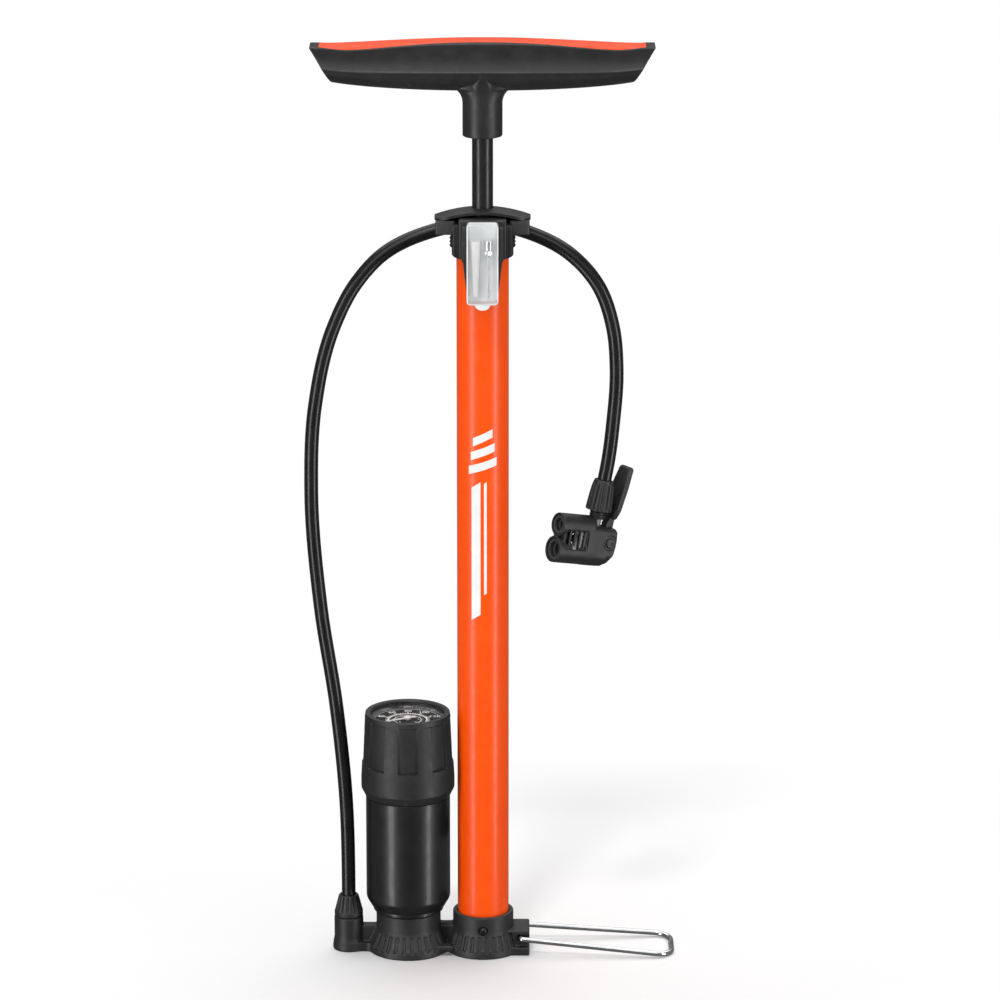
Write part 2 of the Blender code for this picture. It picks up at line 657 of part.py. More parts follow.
def make_chuck():
    frame = add_parent("chuck_frame", CHUCK_AT, chuck_turn())
    start = set(bpy.context.scene.objects)
    make_chuck_body()
    for name, (height, _, bore) in (("upper", UPPER_PORT), ("lower", LOWER_PORT)):
        at = (PORT_FACE, 0, height)
        rim, hole = bore - GAP, bore - 1.9
        ring(name + "_port_ring", hole, rim, 0.6, 3.2, "black_plastic", at, "X", 24)
        ring(name + "_grommet", hole - 1.3, rim, 3.6, 11.0, "seal_rubber", at, "X", 24)
    stem = [(1.4, 4.2), (3.05, 4.2), (3.05, 14.9), (5.4, 14.9), (5.4, 19.9), (2.9, 20.2)]
    stem += [(2.9, 38), (2.4, 40), (1.4, 40)]
    lathe("chuck_stem", stem, "steel", segments=20)
    nut = [(5.0, NUT_FOOT), (8.6, NUT_FOOT), (8.4, 26), (7.4, 36), (6.2, NUT_TOP), (5.0, NUT_TOP)]
    lathe("chuck_nut", nut, "black_plastic", segments=24)
    x, _, z = LEVER_PIVOT
    pin = [(0, -10.4), (3.0, -10.4), (3.3, -9.9), (3.3, -9.05), (1.9, -9.05), (1.9, 9.05), (3.3, 9.05)]
    pin += [(3.3, 9.9), (3.0, 10.4), (0, 10.4)]
    lathe("lever_pin", pin, "steel", (x, 0, z), "Y", 20)
    make_chuck_plunger()
    hold_new(start, frame)
    start = set(bpy.context.scene.objects)
    make_chuck_lever()
    hold_new(start, add_parent("lever_pivot", LEVER_PIVOT, parent=frame))


def make_chuck_body():
    upper_z, upper_r, upper_bore = UPPER_PORT
    lower_z, lower_r, lower_bore = LOWER_PORT
    front = [(0, 0), (lower_r - 0.8, 0), (lower_r, 0.8), (lower_r, 38), (0, 38)]
    body = lathe("chuck_body", front, "black_plastic", (PORT_FACE - 0.5, 0, lower_z), "X", 32)
    top = [(0, 0), (upper_r - 0.8, 0), (upper_r, 0.8), (upper_r, 24), (0, 24)]
    rear = [(-8, 10), (-8, -16.5), (4, -16.5), (9, -13.5), (12, -8.5), (13.2, -2), (13.2, 7.5), (12, 10)]
    core = prism("rear_block", rear, -8.7, 8.7, "black_plastic", along="Y")
    web = block("port_web", (PORT_FACE + 3, -6.6, -8), (-7, 6.6, 7), "black_plastic")
    boss = ring("pin_boss", 0, 4.8, -8.95, 8.95, "black_plastic", LEVER_PIVOT, "Y", 24)
    join(body, lathe("top_port", top, "black_plastic", (PORT_FACE, 0, upper_z), "X", 32), core, web, boss)
    cut(
        body,
        ring("upper_bore", 0, upper_bore, -32, -15, "black_plastic", (0, 0, upper_z), "X", 26),
        ring("lower_bore", 0, lower_bore, -32, -15, "black_plastic", (0, 0, lower_z), "X", 26),
        block("chamber", (-18, -4.5, -12), (-8.5, 4.5, 12), "black_plastic"),
        block("stem_chamber", (-9, -3, -4), (2, 3, 3.7), "black_plastic"),
        ring("stem_bore", 0, 3.35, 3, 20, "black_plastic", segments=20),
        ring("push_rod_bore", 0, 2.2, 1, 6, "black_plastic", (0, 0, 1.3), "X", 12),
        ring("hub_pocket", 0, LEVER_HUB_R + 0.35, -3.3, 3.3, "black_plastic", LEVER_PIVOT, "Y", 24),
        block("lever_slot", (4.6, -3.3, -9), (30, 3.3, 12), "black_plastic"),
        ring("pin_hole", 0, 2.0, -12, 12, "black_plastic", LEVER_PIVOT, "Y", 14),
    )


def make_chuck_lever():
    """The thumb lever, drawn about its pivot."""
    lever = ring("chuck_lever", 0, LEVER_HUB_R, -2.9, 2.9, "black_plastic", (0, 0, 0), "Y", 24)
    arm = [(-1.6, 2.5), (4.0, 0.5), (4.3, 14), (4.6, 20), (1.6, 20), (1.3, 17), (-1.6, 12)]
    blade = [(1.4, 16), (4.5, 16), (5.0, 22), (7.6, 38), (10.0, 49.5), (9.0, 50.8), (7.0, 50.8), (6.2, 49.5)]
    blade += [(3.6, 36), (1.4, 22)]
    join(
        lever,
        prism("lever_arm", arm, -2.9, 2.9, "black_plastic", along="Y"),
        prism("lever_blade", blade, -7.5, 7.5, "black_plastic", along="Y"),
    )
    cut(lever, ring("lever_pin_hole", 0, 2.0, -5, 5, "black_plastic", (0, 0, 0), "Y", 16))


def make_chuck_plunger():
    plate = rounded_outline((-4.1, -11.5), (4.1, 11.5), 2, 2)
    plunger = prism("chuck_plunger", plate, -13.0, -10.6, "white_plastic", along="X")
    join(plunger, ring("push_rod", 0, 1.9, -11.5, 2.6, "white_plastic", (0, 0, 1.3), "X", 12))


def make_hose():
    end = chuck_spot(0, 0, NUT_TOP + GAP)
    before = chuck_spot(0, 0, NUT_TOP + 12)
    rise = (HOSE_FOOT[0], HOSE_FOOT[1], HOSE_FOOT[2] + 14)
    points = smooth_curve([HOSE_FOOT, rise, *HOSE_ROUTE, before, end], HOSE_STEP)
    rod_along("hose", points, HOSE_R, "black_rubber", 2)


def main():
    for obj in list(bpy.data.objects):
        bpy.data.objects.remove(obj, do_unlink=True)
    make_base()
    make_barrel_foot()
    make_barrel()
    make_foot_wire()
    make_tank()
    make_gauge()
    make_head()
    make_case()
    make_rod()
    make_handle()
    make_hose_gland()
    make_chuck()
    make_hose()


main()
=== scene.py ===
"""Looks of the floor pump: fine pieces, finishes, floor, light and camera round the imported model.

Shapes are worked out in millimetres in the pump's own frame, and made in metres. The floor is
z = 0, the barrel's axis is the Z axis, +X runs from the tank to the wire foot and -Y is the front.
"""

import json
from math import copysign, cos, degrees, dist, pi, radians, sin, sqrt, tan, tau

import bmesh
import bpy
from mathutils import Matrix, Vector


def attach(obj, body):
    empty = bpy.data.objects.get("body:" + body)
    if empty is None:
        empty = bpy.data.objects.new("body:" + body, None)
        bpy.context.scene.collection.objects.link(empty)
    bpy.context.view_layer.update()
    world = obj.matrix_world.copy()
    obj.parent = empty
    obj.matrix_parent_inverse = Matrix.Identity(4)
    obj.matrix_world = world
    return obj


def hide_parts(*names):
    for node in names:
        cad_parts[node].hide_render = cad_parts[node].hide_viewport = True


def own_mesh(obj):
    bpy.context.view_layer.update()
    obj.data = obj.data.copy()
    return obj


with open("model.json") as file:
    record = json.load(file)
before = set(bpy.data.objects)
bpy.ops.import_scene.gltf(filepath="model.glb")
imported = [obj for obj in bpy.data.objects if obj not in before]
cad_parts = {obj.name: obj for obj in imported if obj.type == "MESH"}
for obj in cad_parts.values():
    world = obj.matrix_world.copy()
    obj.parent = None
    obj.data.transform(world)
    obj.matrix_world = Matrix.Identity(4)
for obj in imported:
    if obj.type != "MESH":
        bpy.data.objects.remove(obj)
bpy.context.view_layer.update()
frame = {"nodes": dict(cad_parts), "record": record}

MM = 0.001

# the pump's main sizes, as packed
BARREL_R = 17
BARREL_FOOT = 12.3
BARREL_TOP = 496.5
ROD_R = 6.8
ROD_FOOT = 92.3
ROD_TOP = 578
NECK_R = 12.9
NECK_FOOT = 554.5
HANDLE_MID = 601
HANDLE_HALF = 103.5
PAD_SHARE = 0.955  # the pad's length over the handle's
TANK_X = -50
TANK_AT = (TANK_X, 0, 0)
POST_X = -90
POST_AT = (POST_X, 0, 0)
POST_R = 9.7
POST_TOP = 23
COLLAR_TOP = 27.5
SCREW_Z = 18.5
FOOT_PIVOT = (25, 0, 11)
TANK_R = 28
DIAL_Z = 160.2
PRINT = (-0.02, 0.07)  # the dial's printed marks, from its face
CASE_HALF = 10.25

# the chuck's own frame: ports towards -X, hose towards +Z
CHUCK_YAW = Matrix.Rotation(radians(33), 4, "Z")
CHUCK_PITCH = Matrix.Rotation(radians(13), 4, "Y")
CHUCK_PLACE = Matrix.Translation((72, 0, 284)) @ CHUCK_YAW @ CHUCK_PITCH
PORT_FACE = -30
UPPER_PORT = (8.6, 7.8, 6.3)  # height, outer radius and bore radius
LOWER_PORT = (-8, 8.7, 7.2)
LEVER_PIVOT = (8, 0, 0.5)
LEVER_HUB_R = 4.4
NUT_FOOT = 20.4
NUT_TOP = 40.8

# the hose's route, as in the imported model
HOSE_R = 4.6
HOSE_FOOT = (-90, 0, 38.3)
HOSE_RISE = (-90, 0, 52.3)
HOSE_ROUTE = (
    (-91, 0, 100), (-97.2, 0.5, 170), (-107, 2, 238), (-112.5, 3.5, 318),
    (-109.8, 7.5, 372), (-97.2, 14.5, 424.5), (-83.6, 19, 451), (-65.6, 23.5, 470.5),
    (-32, 27, 486), (0, 27.5, 490.5), (32, 27, 484), (57, 24, 471),
    (75.5, 20, 450.5), (84.8, 16, 424.5), (87.4, 12, 397), (85.2, 8.5, 361),
)

# camera, in millimetres
CAMERA_RISE = 15.5  # degrees above the horizon
CAMERA_AWAY = 3400
CAMERA_TARGET = (11.25, 0, 311.4)
CAMERA_LENS = 186.8

# finishes, floor and light
WHITE = (1, 1, 1, 1)
GRAIN_DEPTH = 0.0004  # metres
FLOOR_R = 14  # metres
FLOOR_GLOW = 0.09
WORLD_FILL = 0.3
WORLD_GLOSS = 0.14  # what shiny surfaces see of the fill

AXIS_TURNS = {
    "Z": Matrix.Identity(4),
    "X": Matrix(((0, 0, 1, 0), (0, 1, 0, 0), (-1, 0, 0, 0), (0, 0, 0, 1))),
    "Y": Matrix(((1, 0, 0, 0), (0, 0, 1, 0), (0, -1, 0, 0), (0, 0, 0, 1))),
}


# ---------- shapes


def skin(bm, near, far):
    """Faces between two loops of vertices. A loop of one vertex is a tip."""
    if len(near) == 1:
        near, far = far, near
    for i in range(len(near)):
        j = (i + 1) % len(near)
        if len(far) == 1:
            bm.faces.new((near[i], near[j], far[0]))
        else:
            bm.faces.new((near[i], near[j], far[j], far[i]))


def cleaned(bm):
    bmesh.ops.remove_doubles(bm, verts=bm.verts, dist=1e-4)
    bmesh.ops.recalc_face_normals(bm, faces=bm.faces)
    return bm


def placed(bm, at=(0, 0, 0), along="Z", turn=None):
    bm.transform(AXIS_TURNS[along])
    if turn:
        bm.transform(turn)
    bmesh.ops.translate(bm, vec=Vector(at), verts=bm.verts)
    return bm


def rounded(points, radius, steps=4, closed=False):
    """The polyline with its corners turned into arcs. radius is one number, or one for each point."""
    result = []
    for i, point in enumerate(points):
        here = Vector(point)
        wanted = radius[i] if hasattr(radius, "__len__") else radius
        if not wanted or (not closed and i in (0, len(points) - 1)):
            result.append(tuple(here))
            continue
        back = Vector(points[i - 1]) - here
        ahead = Vector(points[(i + 1) % len(points)]) - here
        half = back.angle(ahead, pi) / 2
        reach = wanted / max(tan(half), 1e-3)
        reach = min(reach, 0.48 * back.length, 0.48 * ahead.length)
        start = here + back.normalized() * reach
        end = here + ahead.normalized() * reach
        for step in range(steps + 1):
            t = step / steps
            result.append(tuple(start * (1 - t) ** 2 + here * 2 * t * (1 - t) + end * t * t))
    return result


def turned(profile, at=(0, 0, 0), along="Z", segments=128, shape=None):
    """A turned solid. shape(angle, radius, height) may change each point's radius."""
    bm = bmesh.new()
    loops = []
    for radius, height in profile:
        if radius < 1e-6:
            loops.append([bm.verts.new((0, 0, height))])
            continue
        loop = []
        for i in range(segments):
            angle = tau * i / segments
            reach = shape(angle, radius, height) if shape else radius
            loop.append(bm.verts.new((reach * cos(angle), reach * sin(angle), height)))
        loops.append(loop)
    if len(loops[0]) > 1 or len(loops[-1]) > 1:
        loops.append(loops[0])
    for near, far in zip(loops, loops[1:]):
        skin(bm, near, far)
    return placed(cleaned(bm), at, along)


def tube(inner, outer, low, high, at=(0, 0, 0), along="Z", edge=0.3, segments=96):
    """A tube, washer or disc with rounded edges."""
    profile = [(outer, low), (outer, high), (inner, high), (inner, low)]
    if inner:
        return turned(rounded(profile, edge, 3, True), at, along, segments)
    profile = [(0, low), (outer, low), (outer, high), (0, high)]
    return turned(rounded(profile, edge, 3), at, along, segments)


def lofted(rings):
    bm = bmesh.new()
    loops = [[bm.verts.new(point) for point in one] for one in rings]
    for near, far in zip(loops, loops[1:]):
        skin(bm, near, far)
    bm.faces.new(loops[0])
    bm.faces.new(loops[-1])
    return cleaned(bm)


def bevelled(bm, width):
    if width:
        sharp = [e for e in bm.edges if e.is_manifold and e.calc_face_angle(0) > radians(30)]
        bmesh.ops.bevel(
            bm, geom=sharp, offset=width, segments=3, profile=0.5, affect="EDGES", clamp_overlap=True
        )
    return bm


def pushed(outline, low, high, along="Z", edge=0.4):
    """An outline pushed from low to high: (x, y) along Z, (x, z) along Y or (y, z) along X."""
    order = {"X": (2, 0, 1), "Y": (0, 2, 1), "Z": (0, 1, 2)}[along]
    rings = [[[(a, b, height)[k] for k in order] for a, b in outline] for height in (low, high)]
    return bevelled(lofted(rings), edge)


def rectangle(low, high, radius=0):
    """A rectangle's outline with round corners."""
    corners = [(low[0], low[1]), (high[0], low[1]), (high[0], high[1]), (low[0], high[1])]
    return rounded(corners, radius, 5, True) if radius else corners


def block(low, high, edge=0.4):
    return pushed(rectangle(low, high), low[2], high[2], "Z", edge)


def both_sides(low, high):
    """A range and its mirror image, as (low, high) pairs."""
    return ((low, high), (-high, -low))


def added(name, data):
    """A new scene object for some data."""
    obj = bpy.data.objects.new(name, data)
    bpy.context.scene.collection.objects.link(obj)
    return obj


def as_mesh(name, bm):
    mesh = bpy.data.meshes.new(name)
    bm.to_mesh(mesh)
    bm.free()
    return mesh


def discard(obj):
    data = obj.data
    bpy.data.objects.remove(obj, do_unlink=True)
    if isinstance(data, bpy.types.Curve):
        bpy.data.curves.remove(data)
    else:
        bpy.data.meshes.remove(data)


def as_bmesh(obj):
    """obj as its modifiers leave it, as a bmesh. obj is removed."""
    graph = bpy.context.evaluated_depsgraph_get()
    mesh = bpy.data.meshes.new_from_object(obj.evaluated_get(graph), depsgraph=graph)
    bm = bmesh.new()
    bm.from_mesh(mesh)
    bpy.data.meshes.remove(mesh)
    discard(obj)
    return bm


def combined(first, operation, others):
    base = added("base", as_mesh("base", first))
    helpers = [added("helper", as_mesh("helper", other)) for other in others]
    for helper in helpers:
        modifier = base.modifiers.new("combine", "BOOLEAN")
        modifier.operation = operation
        modifier.solver = "MANIFOLD"
        modifier.object = helper
    result = as_bmesh(base)
    for helper in helpers:
        discard(helper)
    return result


def joined(first, *others):
    return combined(first, "UNION", others)


def cut(first, *others):
    return combined(first, "DIFFERENCE", others)


def gathered(*parts):
    """Separate shells as one bmesh."""
    result = bmesh.new()
    for part in parts:
        mesh = as_mesh("part", part)
        result.from_mesh(mesh)
        bpy.data.meshes.remove(mesh)
    return result


def melted(bm, voxel, rounds):
    """The shape remeshed on a fine grid and smoothed, so that its joints get small fillets."""
    obj = added("melted", as_mesh("melted", bm))
    remesh = obj.modifiers.new("remesh", "REMESH")
    remesh.mode = "VOXEL"
    remesh.voxel_size = voxel
    smooth = obj.modifiers.new("smooth", "SMOOTH")
    smooth.factor = 0.5
    smooth.iterations = rounds
    return as_bmesh(obj)


def round_curve(name, kind, radius, resolution):
    """A curve for a round bar with flat ends, and its spline."""
    data = bpy.data.curves.new(name, "CURVE")
    data.dimensions = "3D"
    data.bevel_depth = radius
    data.bevel_resolution = resolution
    data.use_fill_caps = True
    return data, data.splines.new(kind)


def swept(points, radius, resolution):
    """A round bar along points."""
    data, spline = round_curve("bar", "POLY", radius, resolution)
    spline.points.add(len(points) - 1)
    for spot, point in zip(spline.points, points):
        spot.co = (*point, 1)
    return cleaned(as_bmesh(added("bar", data)))


def second_finish(obj, finish, test):
    """A second finish on the faces whose centre, in millimetres, passes the test."""
    obj.data.materials.append(material(finish))
    index = len(obj.data.materials) - 1
    for face in obj.data.polygons:
        if test(face.center / MM):
            face.material_index = index
    return obj


def piece(name, bm, finish, node=None, body="pump_body", place=None, smooth=32):
    """A shown mesh from a bmesh in millimetres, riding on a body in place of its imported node."""
    if place:
        bm.transform(place)
    bm.transform(Matrix.Scale(MM, 4))
    obj = added(name, as_mesh(name, bm))
    obj.data.shade_smooth()
    obj.data.set_sharp_from_angle(angle=radians(smooth))
    obj.data.materials.append(material(finish))
    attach(obj, body)
    if node:
        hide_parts(node)
    return obj


# ---------- materials


def solid(colour, other, roughness, grain, wear=(0, 1), metal=0, coat=0, specular=0.5, slot=None):
    """An opaque finish's words. One number stands for a grey."""
    amount, worn = wear
    colour, other, worn = (v if hasattr(v, "__len__") else (v,) * 3 for v in (colour, other, worn))
    return dict(
        slot=slot, colour=colour, other=other, roughness=roughness, grain=grain,
        wear=amount, worn=worn, metal=metal, coat=coat, specular=specular,
    )


def clear(body, gloss=(0.04, 0.5), colour=(1, 1, 1)):
    """A clear finish's words: how much of it is milky, and its gloss from straight on to a slant."""
    return dict(slot="clear_plastic", body=body, gloss=gloss, colour=colour)


# two shades, range of roughness, scale and strength of the grain, amount and shade of the wear
FINISHES = {
    "orange_enamel": solid(
        (1, 0.092, 0), (0.98, 0.082, 0), (0.3, 0.38), (900, 0.03), coat=0.1, specular=0.35
    ),
    "orange_grip": solid(
        (1, 0.075, 0.006), (0.9, 0.06, 0.005), (0.5, 0.64), (2600, 0.12), (0.25, (1, 0.2, 0.08))
    ),
    "black_plastic": solid(0.018, 0.013, (0.42, 0.54), (2400, 0.16), (0.4, 0.11)),
    # painted highlight: black plastic made lighter grey, standing in for the light on the cap's front wall
    # faces and the port rims
    "painted_lit_plastic": solid(0.05, 0.04, (0.42, 0.54), (2400, 0.16), (0.4, 0.11), slot="black_plastic"),
    "handle_plastic": solid(0.018, 0.013, (0.36, 0.48), (2000, 0.14), (0.35, 0.09), slot="black_plastic"),
    "black_enamel": solid(0.008, 0.006, (0.32, 0.4), (1400, 0.05), (0.1, 0.05), coat=0.15),
    "black_steel": solid(0.01, 0.007, (0.3, 0.38), (700, 0.03), (0.1, 0.1), coat=0.1),
    "hose_rubber": solid(0.005, 0.008, (0.24, 0.32), (1500, 0.02), slot="black_rubber"),
    "seal_rubber": solid(0.016, 0.024, (0.6, 0.8), (1800, 0.15), (0.2, 0.06)),
    "bright_zinc": solid(
        (0.82, 0.82, 0.83), (0.66, 0.67, 0.69), (0.12, 0.26), (600, 0.05), (0.3, 0.95), metal=1
    ),
    "stem_zinc": solid(
        (0.34, 0.34, 0.35), (0.27, 0.27, 0.28), (0.45, 0.55), (900, 0.05), (0.3, 0.8),
        metal=1, slot="bright_zinc",
    ),
    "steel": solid((0.6, 0.6, 0.61), (0.45, 0.45, 0.46), (0.25, 0.4), (1200, 0.08), (0.3, 0.8), metal=1),
    "brass": solid(
        (0.72, 0.5, 0.18), (0.55, 0.36, 0.12), (0.22, 0.4), (900, 0.06), (0.3, (0.9, 0.7, 0.35)), metal=1
    ),
    "white_plastic": solid((0.86, 0.86, 0.84), (0.78, 0.78, 0.76), (0.34, 0.46), (1500, 0.05), (0.2, 0.95)),
    "dial_face": solid(0.004, 0.006, (0.5, 0.6), (2500, 0.04), specular=0.1, slot="dial"),
    "white_print": solid(0.9, 0.82, (0.4, 0.5), (2500, 0.04), slot="white_plastic"),
    "pointer": solid((0.85, 0.85, 0.84), (0.75, 0.75, 0.74), (0.3, 0.4), (1500, 0.04), (0.2, 1)),
    "clear_case": clear(0.1, colour=(0.98, 0.99, 1)),
    "case_back": clear(0.9),
    "case_top": clear(0.3, colour=(0.97, 0.98, 0.99)),
    # painted highlight: the case's edges made milky white, standing in for the light caught in the clear
    # plastic's edges
    "lit_case_rim": clear(0.85, (0.06, 0.5)),
    "lens": clear(0.01, (0.01, 0.08), (0.95, 0.97, 0.97)),
}

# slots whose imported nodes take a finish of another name
SLOT_FINISH = {"black_rubber": "hose_rubber", "clear_plastic": "clear_case", "dial": "dial_face"}


def filled(tree, node, inputs):
    """The node with inputs set, by name or number, each to a value or to another node's output."""
    for key, value in inputs.items():
        socket = node.inputs[key.replace("_", " ") if isinstance(key, str) else key]
        if isinstance(value, bpy.types.NodeSocket):
            tree.links.new(value, socket)
        else:
            socket.default_value = value
    return node


def add_node(tree, kind, **inputs):
    return filled(tree, tree.nodes.new("ShaderNode" + kind), inputs)


def noise(tree, place, scale, detail=3):
    vector = place.outputs["Object"]
    return add_node(tree, "TexNoise", Scale=scale, Detail=detail, Vector=vector).outputs["Fac"]


def spread(tree, value, low, high, start=0.35, end=0.65):
    """A noise value stretched to run from low to high."""
    limits = dict(From_Min=start, From_Max=end, To_Min=low, To_Max=high)
    return add_node(tree, "MapRange", Value=value, **limits).outputs["Result"]


def mixed(tree, share, first, second):
    """A colour between two, each a colour or a socket."""
    made = add_node(tree, "Mix")
    made.data_type = "RGBA"
    first, second = (v if isinstance(v, bpy.types.NodeSocket) else (*v, 1) for v in (first, second))
    return filled(tree, made, {0: share, 6: first, 7: second}).outputs[2]


def calculated(tree, operation, first, second):
    made = add_node(tree, "Math")
    made.operation = operation
    return filled(tree, made, {0: first, 1: second}).outputs[0]


def blended(tree, share, first, second):
    """A shader between two."""
    made = add_node(tree, "MixShader")
    return filled(tree, made, {0: share, 1: first, 2: second}).outputs[0]


def clouded(tree, place, scale, first, other):
    """Soft clouds of two shades. Gives the noise and the colour."""
    clouds = noise(tree, place, scale)
    return clouds, mixed(tree, spread(tree, clouds, 0, 1), first, other)


def grain(tree, place, scale, strength):
    """The normal of a finely grained surface."""
    height = noise(tree, place, scale, 2)
    bump = add_node(tree, "Bump", Strength=strength, Distance=GRAIN_DEPTH, Height=height)
    return bump.outputs["Normal"]


def opaque_finish(tree, shader, words):
    """Two shades in soft clouds, lighter worn edges, uneven gloss and a fine grain."""
    place = add_node(tree, "TexCoord")
    _, colour = clouded(tree, place, 60, words["colour"], words["other"])
    if words["wear"]:
        edges = add_node(tree, "NewGeometry").outputs["Pointiness"]
        lifted = spread(tree, edges, 0, words["wear"], 0.52, 0.6)
        share = calculated(tree, "MULTIPLY", lifted, noise(tree, place, 260, 4))
        colour = mixed(tree, share, colour, words["worn"])
    gloss = spread(tree, noise(tree, place, 140, 4), *words["roughness"])
    filled(tree, shader, dict(
        Base_Color=colour, Roughness=gloss, Normal=grain(tree, place, *words["grain"]),
        Metallic=words["metal"], Specular_IOR_Level=words["specular"],
        Coat_Weight=words["coat"], Coat_Roughness=0.08,
    ))


def clear_finish(tree, shader, words):
    """Clear plastic: mostly seen through, with a faint body of its own and gloss at a slant."""
    place = add_node(tree, "TexCoord")
    clouds, colour = clouded(tree, place, 90, words["colour"], (0.84, 0.87, 0.88))
    normal = grain(tree, place, 700, 0.03)
    rough = spread(tree, clouds, 0.04, 0.12)
    filled(tree, shader, dict(Base_Color=colour, Roughness=rough, Normal=normal))
    through = add_node(tree, "BsdfTransparent").outputs[0]
    gloss = add_node(tree, "BsdfGlossy", Roughness=0.04, Normal=normal).outputs[0]
    slant = add_node(tree, "LayerWeight", Blend=0.5).outputs["Facing"]
    share = spread(tree, calculated(tree, "POWER", slant, 4), *words["gloss"], 0, 1)
    film = blended(tree, share, through, gloss)
    whole = blended(tree, words["body"], film, shader.outputs[0])
    tree.links.new(whole, tree.nodes["Material Output"].inputs["Surface"])


def material(name):
    """The finish called name, made on its first use."""
    made = bpy.data.materials.get("finish_" + name)
    if made:
        return made
    words = FINISHES[name]
    made = bpy.data.materials.new("finish_" + name)
    made.use_nodes = True
    shader = made.node_tree.nodes["Principled BSDF"]
    if "gloss" in words:
        clear_finish(made.node_tree, shader, words)
    else:
        opaque_finish(made.node_tree, shader, words)
    made.diffuse_color = (*words["colour"], 1)
    return made


# ---------- camera, floor and light


def make_camera():
    rise = radians(CAMERA_RISE)
    back = Vector((0, -cos(rise), sin(rise)))
    data = bpy.data.cameras.new("camera")
    data.sensor_width = 36
    data.lens = CAMERA_LENS
    data.clip_end = 100
    camera = added("camera", data)
    camera.location = (Vector(CAMERA_TARGET) + back * CAMERA_AWAY) * MM
    camera.rotation_euler = (pi / 2 - rise, 0, 0)
    bpy.context.scene.camera = camera


def make_floor():
    bm = bmesh.new()
    bmesh.ops.create_circle(bm, cap_ends=True, segments=96, radius=FLOOR_R)
    floor = added("floor", as_mesh("floor", bm))
    made = bpy.data.materials.new("floor_white")
    made.use_nodes = True
    tree = made.node_tree
    shader = tree.nodes["Principled BSDF"]
    place = add_node(tree, "TexCoord")
    _, colour = clouded(tree, place, 3, (0.9, 0.9, 0.9), (0.88, 0.88, 0.88))
    filled(tree, shader, dict(
        Base_Color=colour, Roughness=0.9, Specular_IOR_Level=0.1,
        Emission_Color=WHITE, Emission_Strength=FLOOR_GLOW,
    ))
    floor.data.materials.append(made)
    floor.visible_glossy = False
    floor.visible_diffuse = False
    return floor


def add_light(name, kind, at, power, aim):
    data = bpy.data.lights.new(name, kind)
    data.energy = power
    light = added(name, data)
    light.location = Vector(at) * MM
    away = (Vector(aim) - Vector(at)).normalized()
    light.rotation_euler = away.to_track_quat("-Z", "Y").to_euler()
    return light


def add_strip(name, at, size, power, passed_by, aim):
    """A soft box that lights the pump and not the floor, and that the floor doesn't block."""
    strip = add_light(name, "AREA", at, power, aim)
    strip.data.shape = "RECTANGLE"
    strip.data.size, strip.data.size_y = size
    strip.light_linking.receiver_collection = passed_by
    strip.light_linking.blocker_collection = passed_by


def add_sun(name, towards, power, width):
    sun = add_light(name, "SUN", towards, power, (0, 0, 0))
    sun.data.angle = radians(width)


def make_light(floor):
    world = bpy.data.worlds.new("studio")
    world.use_nodes = True
    tree = world.node_tree
    rays = add_node(tree, "LightPath").outputs
    dimmed = spread(tree, rays["Is Glossy Ray"], WORLD_FILL, WORLD_GLOSS, 0, 1)
    fill = filled(tree, tree.nodes["Background"], dict(Color=WHITE, Strength=dimmed))
    seen = add_node(tree, "Background", Color=WHITE, Strength=1)
    either = blended(tree, rays["Is Camera Ray"], fill.outputs[0], seen.outputs[0])
    tree.links.new(either, tree.nodes["World Output"].inputs["Surface"])
    bpy.context.scene.world = world
    bpy.context.scene.view_settings.view_transform = "Standard"
    passed_by = bpy.data.collections.new("passed_by")
    passed_by.objects.link(floor)
    passed_by.collection_objects[0].light_linking.link_state = "EXCLUDE"
    add_strip("left_strip", (-1100, -1020, 200), (0.38, 2), 14.5, passed_by, (0, 0, 200))
    add_strip("right_strip", (1400, -900, 200), (0.36, 2), 15, passed_by, (0, 0, 200))
    add_strip("front_fill", (-150, -1750, 1700), (1.8, 1.2), 9.5, passed_by, (0, 0, 300))
    add_sun("sky", (0, 1100, 3000), 1.9, 80)
    add_sun("key", (-400, -1450, 2600), 0.65, 9)


# ---------- hose


def make_hose(pieces):
    """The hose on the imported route, with handles that give the same curve."""
    ends = [CHUCK_PLACE @ Vector((0, 0, NUT_TOP + past)) for past in (12, 0.3)]
    stops = [Vector(stop) for stop in (HOSE_FOOT, HOSE_RISE, *HOSE_ROUTE)] + ends
    data, spline = round_curve("hose_tube", "BEZIER", HOSE_R * MM, 8)
    data.resolution_u = 16
    spline.bezier_points.add(len(stops) - 1)
    padded = [2 * stops[0] - stops[1], *stops, 2 * stops[-1] - stops[-2]]
    for spot, (before, here, after) in zip(spline.bezier_points, zip(padded, padded[1:], padded[2:])):
        back = max((here - before).length, 1e-9)
        ahead = max((after - here).length, 1e-9)
        slope = ((here - before) / back * ahead + (after - here) / ahead * back) / (back + ahead)
        spot.handle_left_type = spot.handle_right_type = "FREE"
        spot.co = here * MM
        spot.handle_left = (here - slope * back / 3) * MM
        spot.handle_right = (here + slope * ahead / 3) * MM
    hose = added("hose_tube", data)
    data.materials.append(material("hose_rubber"))
    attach(hose, "pump_body")
    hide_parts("hose")


def dress_cad_nodes():
    """A finish for each CAD node, by its slot in the record."""
    for part in frame["record"]["subparts"]:
        obj = frame["nodes"][part["node"]]
        slot_name = part["material_slot"]
        made = material(SLOT_FINISH.get(slot_name, slot_name))
        for slot in obj.material_slots:
            slot.link = "OBJECT"
            slot.material = made


# ---------- barrel, rod and handle


